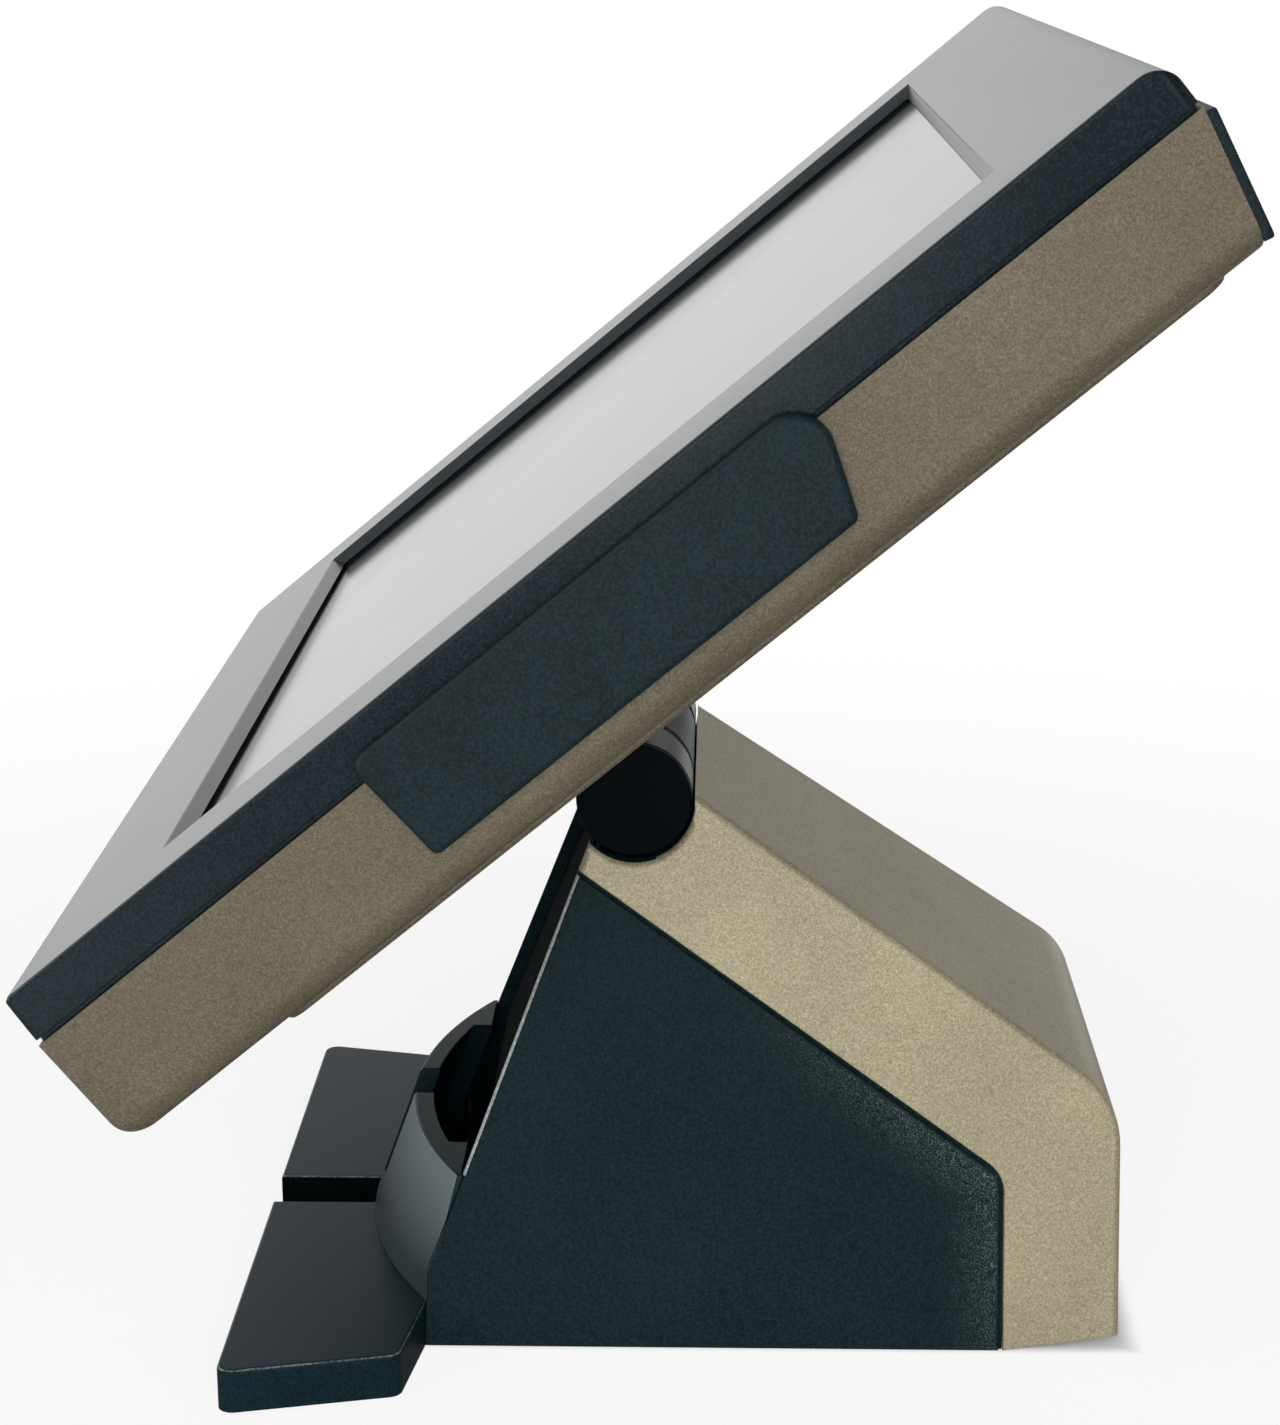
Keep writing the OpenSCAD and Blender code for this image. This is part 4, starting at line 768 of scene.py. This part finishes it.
# Each round is a radius in millimetres and a test of an edge's two faces and middle point
easedPieces = {
    "bezelMoulding": {"node": "front_bezel", "rounds": [
        (0.9, lambda a, b, p: isSide(a) and b.dot(screenOut) > 0.7),
        (0.5, lambda a, b, p: a.dot(screenOut) > 0.98 and notSide(b) and abs(b.dot(screenOut)) > 0.5),
        (0.4, lambda a, b, p: isSide(a) and b.dot(screenOut) < -0.95)]},
    "sideBlankMoulding": {"node": "side_cover", "rounds": [(1.6, lambda a, b, p: a.x > 0.95)]},
    "standShellMoulding": {"node": "stand_shell", "rounds": [
        (1.8, lambda a, b, p: isSide(a) and notSide(b) and onStandSide(p) and (b.z > 0.3 or b.y > 0.9)),
        (0.5, lambda a, b, p: isSide(a) and notSide(b) and onStandSide(p))],
        "extras": [(bareOrGapShade, finishes["panel_black"])]},
    "cupMoulding": {"node": "cable_cup", "rounds": [
        (0.8, lambda a, b, p: a.z > 0.98 and p.z > mm(cupSet["rimFrom"])),
        (0.6, lambda a, b, p: a.z < -0.98 and b.y < -0.7 and p.z < mm(cupSet["seat"]))],
        "extras": [(highlitCupSeam, footHighlightFinish), (cupWall, cupHighlightFinish)]},
    "footMoulding": {"node": "base_foot", "rounds": [
        (1.0, lambda a, b, p: a.z > 0.98 and p.z > mm(footSet["top"]))],
        "extras": [(highlitFootTop, footHighlightFinish), (inGroove, finishOf["front_cover"])]},
    "backPanelMoulding": {"node": "rear_cover", "rounds": [
        (0.8, lambda a, b, p: a.dot(screenOut) < -0.98 and abs(p.x) > mm(coverRim))]},
    "topStripMoulding": {"node": "top_cover", "rounds": [(0.7, lambda a, b, p: a.dot(screenUp) > 0.9)]},
    "barrelCapRight": {"node": "hinge_cap_right", "rounds": [(0.7, lambda a, b, p: a.x > 0.98)]},
    "barrelCapLeft": {"node": "hinge_cap_left", "rounds": [(0.7, lambda a, b, p: a.x < -0.98)]},
    "powerButtonMoulding": {"node": "power_button", "rounds": [
        (0.5, lambda a, b, p: a.dot(screenUp) < -0.98)]},
    "bracketCasting": {"node": "hinge_bracket", "rounds": [
        (0.6, lambda a, b, p: a.dot(screenOut) < -0.98 and abs(b.dot(screenOut)) < 0.1)]},
    "mainsInlet": {"node": "power_inlet", "rounds": [], "extras": [(inletPin, finishes["port_metal"])]},
}
for side in ("right", "left"):
    easedPieces["sidePanel" + side.title() + "Moulding"] = {"node": "side_panel_" + side, "rounds": [
        (1.4, lambda a, b, p: isSide(a) and b.y < -0.8 and onStandSide(p) and p.z > frontKnee),
        (0.5, lambda a, b, p: isSide(a) and b.y > -0.8 and onStandSide(p))],
        "extras": [(highlitFrontEdge, edgeHighlightFinish)], "cutAt": cupSet["rim"], "nudge": seatOnFoot}
for name, look in easedPieces.items():
    piece = easedCopy(name, look)
    print("eased", name, len(piece.data.polygons), "faces")


def islandsOf(node):  # the points of each separate solid in a node
    work = bmesh.new()
    work.from_mesh(nodes[node].data)
    bmesh.ops.remove_doubles(work, verts=work.verts, dist=weldGap)
    groups = []
    for start in work.verts:
        if start.tag:
            continue
        start.tag = True
        stack = [start]
        group = []
        while stack:
            vert = stack.pop()
            group.append(vert.co.copy())
            for other in [edge.other_vert(vert) for edge in vert.link_edges]:
                if not other.tag:
                    other.tag = True
                    stack.append(other)
        groups.append(group)
    work.free()
    return groups


def newTree(name, inputs):
    tree = bpy.data.node_groups.new(name, "GeometryNodeTree")
    tree.interface.new_socket("Geometry", in_out="INPUT", socket_type="NodeSocketGeometry")
    for label, kind in inputs.items():
        tree.interface.new_socket(label, in_out="INPUT", socket_type=kind)
    tree.interface.new_socket("Geometry", in_out="OUTPUT", socket_type="NodeSocketGeometry")
    return tree, addNode(tree, "NodeGroupInput").outputs


def grownMesh(name, points, tree, values):  # a tree run on loose points, as a plain mesh
    data = bpy.data.meshes.new(name + "Points")
    data.from_pydata([tuple(point) for point in points], [], [])
    seed = bpy.data.objects.new(name + "Work", data)
    scene.collection.objects.link(seed)
    grow = seed.modifiers.new(tree.name, "NODES")
    grow.node_group = tree
    for item in tree.interface.items_tree:
        if item.in_out == "INPUT" and item.name in values:
            grow[item.identifier] = values[item.name]
    return plainMesh(seed, name)


# Shares of the head's radius, and for the depth of its height
crossSet = {"slotWide": 0.3, "slotLong": 1.15, "slotDeep": 1.3, "cutBlock": 2.4}


# Cross-head screws: a domed head with a cross recess over a plain shank
def crossScrewTree():
    tree, given = newTree("crossHeadScrew", {
        "Head Radius": "NodeSocketFloat", "Head Height": "NodeSocketFloat", "Shank Radius": "NodeSocketFloat",
        "Shank Length": "NodeSocketFloat", "Turn": "NodeSocketVector", "Finish": "NodeSocketMaterial"})
    ball = addNode(tree, "GeometryNodeMeshUVSphere", {"Segments": 32, "Rings": 16}, {
        "Radius": given["Head Radius"]})
    squash = addNode(tree, "ShaderNodeMath", {}, {
        0: given["Head Height"], 1: given["Head Radius"]}, operation="DIVIDE")
    press = addNode(tree, "ShaderNodeCombineXYZ", {"X": 1.0, "Y": 1.0}, {"Z": squash.outputs[0]})
    dome = addNode(tree, "GeometryNodeTransform", {}, {
        "Geometry": ball.outputs["Mesh"], "Scale": press.outputs[0]})
    cube = addNode(tree, "ShaderNodeMath", {1: crossSet["cutBlock"]}, {
        0: given["Head Radius"]}, operation="MULTIPLY")
    block = addNode(tree, "ShaderNodeCombineXYZ", {}, {axis: cube.outputs[0] for axis in "XYZ"})
    under = addNode(tree, "GeometryNodeMeshCube", {}, {"Size": block.outputs[0]})
    drop = addNode(tree, "ShaderNodeMath", {1: -crossSet["cutBlock"] / 2}, {
        0: given["Head Radius"]}, operation="MULTIPLY")
    dropped = addNode(tree, "ShaderNodeCombineXYZ", {}, {"Z": drop.outputs[0]})
    floor = addNode(tree, "GeometryNodeTransform", {}, {
        "Geometry": under.outputs["Mesh"], "Translation": dropped.outputs[0]})
    slotWide = addNode(tree, "ShaderNodeMath", {1: crossSet["slotWide"]}, {
        0: given["Head Radius"]}, operation="MULTIPLY")
    slotLong = addNode(tree, "ShaderNodeMath", {1: crossSet["slotLong"]}, {
        0: given["Head Radius"]}, operation="MULTIPLY")
    slotDeep = addNode(tree, "ShaderNodeMath", {1: crossSet["slotDeep"]}, {
        0: given["Head Height"]}, operation="MULTIPLY")
    slotSize = addNode(tree, "ShaderNodeCombineXYZ", {}, {
        "X": slotLong.outputs[0], "Y": slotWide.outputs[0], "Z": slotDeep.outputs[0]})
    slotBox = addNode(tree, "GeometryNodeMeshCube", {}, {"Size": slotSize.outputs[0]})
    raised = addNode(tree, "ShaderNodeCombineXYZ", {}, {"Z": given["Head Height"]})
    slotA = addNode(tree, "GeometryNodeTransform", {}, {
        "Geometry": slotBox.outputs["Mesh"], "Translation": raised.outputs[0]})
    slotB = addNode(tree, "GeometryNodeTransform", {"Rotation": (0, 0, math.pi / 2)}, {
        "Geometry": slotA.outputs[0]})
    head = addNode(tree, "GeometryNodeMeshBoolean", {}, {0: dome.outputs[0]}, operation="DIFFERENCE")
    for cutter in (floor, slotA, slotB):
        tree.links.new(cutter.outputs[0], head.inputs[1])
    rod = addNode(tree, "GeometryNodeMeshCylinder", {"Vertices": 20}, {
        "Radius": given["Shank Radius"], "Depth": given["Shank Length"]})
    half = addNode(tree, "ShaderNodeMath", {1: -0.5}, {0: given["Shank Length"]}, operation="MULTIPLY")
    lowered = addNode(tree, "ShaderNodeCombineXYZ", {}, {"Z": half.outputs[0]})
    shank = addNode(tree, "GeometryNodeTransform", {}, {
        "Geometry": rod.outputs["Mesh"], "Translation": lowered.outputs[0]})
    whole = addNode(tree, "GeometryNodeJoinGeometry")
    tree.links.new(head.outputs["Mesh"], whole.inputs[0])
    tree.links.new(shank.outputs[0], whole.inputs[0])
    turn = addNode(tree, "FunctionNodeEulerToRotation", {}, {0: given["Turn"]})
    placed = addNode(tree, "GeometryNodeInstanceOnPoints", {}, {
        "Points": given["Geometry"], "Instance": whole.outputs[0], "Rotation": turn.outputs[0]})
    real = addNode(tree, "GeometryNodeRealizeInstances", {}, {0: placed.outputs[0]})
    painted = addNode(tree, "GeometryNodeSetMaterial", {}, {
        "Geometry": real.outputs[0], "Material": given["Finish"]})
    addNode(tree, "NodeGroupOutput", {}, {0: painted.outputs[0]})
    return tree


screwSets = {
    "coverScrews": {"node": "cover_screws", "out": -screenOut},
    "housingScrews": {"node": "housing_screws", "out": -screenOut},
    "hingeScrews": {"node": "hinge_screws", "out": -screenOut},
    "baseScrews": {"node": "base_screws", "out": Vector((0, 0, -1))},
}


def measureScrew(points, out):  # seat, head and shank sizes of one solid screw
    low = min(point.dot(out) for point in points)
    top = max(point.dot(out) for point in points)
    tip = [point for point in points if point.dot(out) < low + mm(0.01)]
    axis = sum(tip, Vector()) / len(tip)
    reach = {id(point): ((point - axis) - out * (point - axis).dot(out)).length for point in points}
    headRadius = max(reach.values())
    seat = min(point.dot(out) for point in points if reach[id(point)] > headRadius - mm(0.02))
    sizes = {
        "Head Radius": headRadius, "Head Height": top - seat,
        "Shank Radius": max(reach[id(point)] for point in tip), "Shank Length": seat - low}
    return axis + out * (seat - low), sizes


screwTree = crossScrewTree()
for name, look in screwSets.items():
    measured = [measureScrew(points, look["out"]) for points in islandsOf(look["node"])]
    values = dict(measured[0][1], Turn=look["out"].to_track_quat("Z", "Y").to_euler()[:])
    values["Finish"] = finishes[slotOf[look["node"]]]
    data = grownMesh(name, [seat for seat, sizes in measured], screwTree, values)
    data.shade_smooth()
    data.set_sharp_from_angle(angle=smoothAngle)
    addPiece(name, data, look["node"])
    print("screws", name, len(measured))


# Connector insides: blades and spring contacts, in rows across each mouth
def barRowTree():
    tree, given = newTree("barRow", {
        "Size": "NodeSocketVector", "Count": "NodeSocketInt", "Pitch": "NodeSocketFloat",
        "Turn": "NodeSocketVector", "Finish": "NodeSocketMaterial"})
    bar = addNode(tree, "GeometryNodeMeshCube", {}, {"Size": given["Size"]})
    sides = addNode(tree, "ShaderNodeSeparateXYZ", {}, {0: given["Size"]})
    back = addNode(tree, "ShaderNodeMath", {1: -0.5}, {0: sides.outputs["Z"]}, operation="MULTIPLY")
    shift = addNode(tree, "ShaderNodeCombineXYZ", {}, {"Z": back.outputs[0]})
    seated = addNode(tree, "GeometryNodeTransform", {}, {
        "Geometry": bar.outputs["Mesh"], "Translation": shift.outputs[0]})
    gaps = addNode(tree, "ShaderNodeMath", {1: 1.0}, {0: given["Count"]}, operation="SUBTRACT")
    span = addNode(tree, "ShaderNodeMath", {}, {0: gaps.outputs[0], 1: given["Pitch"]}, operation="MULTIPLY")
    half = addNode(tree, "ShaderNodeMath", {1: -0.5}, {0: span.outputs[0]}, operation="MULTIPLY")
    start = addNode(tree, "ShaderNodeCombineXYZ", {}, {"X": half.outputs[0]})
    step = addNode(tree, "ShaderNodeCombineXYZ", {}, {"X": given["Pitch"]})
    line = addNode(tree, "GeometryNodeMeshLine", {}, {
        "Count": given["Count"], "Start Location": start.outputs[0], "Offset": step.outputs[0]})
    row = addNode(tree, "GeometryNodeInstanceOnPoints", {}, {
        "Points": line.outputs[0], "Instance": seated.outputs[0]})
    turn = addNode(tree, "FunctionNodeEulerToRotation", {}, {0: given["Turn"]})
    placed = addNode(tree, "GeometryNodeInstanceOnPoints", {}, {
        "Points": given["Geometry"], "Instance": row.outputs[0], "Rotation": turn.outputs[0]})
    real = addNode(tree, "GeometryNodeRealizeInstances", {}, {0: placed.outputs[0]})
    painted = addNode(tree, "GeometryNodeSetMaterial", {}, {
        "Geometry": real.outputs[0], "Material": given["Finish"]})
    addNode(tree, "NodeGroupOutput", {}, {0: painted.outputs[0]})
    return tree


def mouthFloors(node, depth, offsets):  # points on the floors of a port's mouths
    floors = []
    for points in islandsOf(node):
        across = [point.x for point in points]
        upward = [point.dot(screenUp) for point in points]
        rear = min(point.dot(screenOut) for point in points)
        for offset in offsets:
            middle = Vector(((min(across) + max(across)) / 2, 0, 0))
            up = (min(upward) + max(upward)) / 2 + mm(offset)
            floors.append(middle + screenUp * up + screenOut * (rear + mm(depth)))
    return floors


def softenEdges(data, radius):
    work = bmesh.new()
    work.from_mesh(data)
    bmesh.ops.bevel(work, geom=work.edges, offset=mm(radius), segments=1, affect="EDGES")
    work.to_mesh(data)
    work.free()


goldContact = workedMetal("goldFlashedContact", goldFlash)
mouthDepth = 3.7
softShare = 0.2  # a bar's edge break, as a share of its thinnest side
portRows = {
    "usbBlades": {
        "node": "usb_ports", "offsets": (-4.0, 5.6), "size": (11.2, 1.8, 3.0), "count": 1, "pitch": 0},
    "usbContacts": {
        "node": "usb_ports", "offsets": (-5.0, 4.6), "size": (1.1, 0.2, 2.6), "count": 4, "pitch": 2.3},
    "networkContacts": {
        "node": "network_port", "offsets": (-4.6,), "size": (0.45, 0.5, 2.9), "count": 8, "pitch": 1.05},
    "serialContacts": {
        "node": "serial_ports", "offsets": (-4.6,), "size": (0.45, 0.5, 2.9), "count": 8, "pitch": 1.0},
    "videoBlade": {
        "node": "video_port", "offsets": (0,), "size": (1.5, 13.0, 3.0), "count": 1, "pitch": 0},
}
rowTree = barRowTree()
for name, look in portRows.items():
    plastic = "Blade" in name
    values = {
        "Size": [mm(side) for side in look["size"]], "Count": look["count"], "Pitch": mm(look["pitch"]),
        "Turn": (headTilt, 0, 0), "Finish": finishes["port_black"] if plastic else goldContact}
    data = grownMesh(name, mouthFloors(look["node"], mouthDepth, look["offsets"]), rowTree, values)
    softenEdges(data, min(look["size"]) * softShare)
    addPiece(name, data, body="head")
    print("port rows", name, len(data.polygons), "faces")
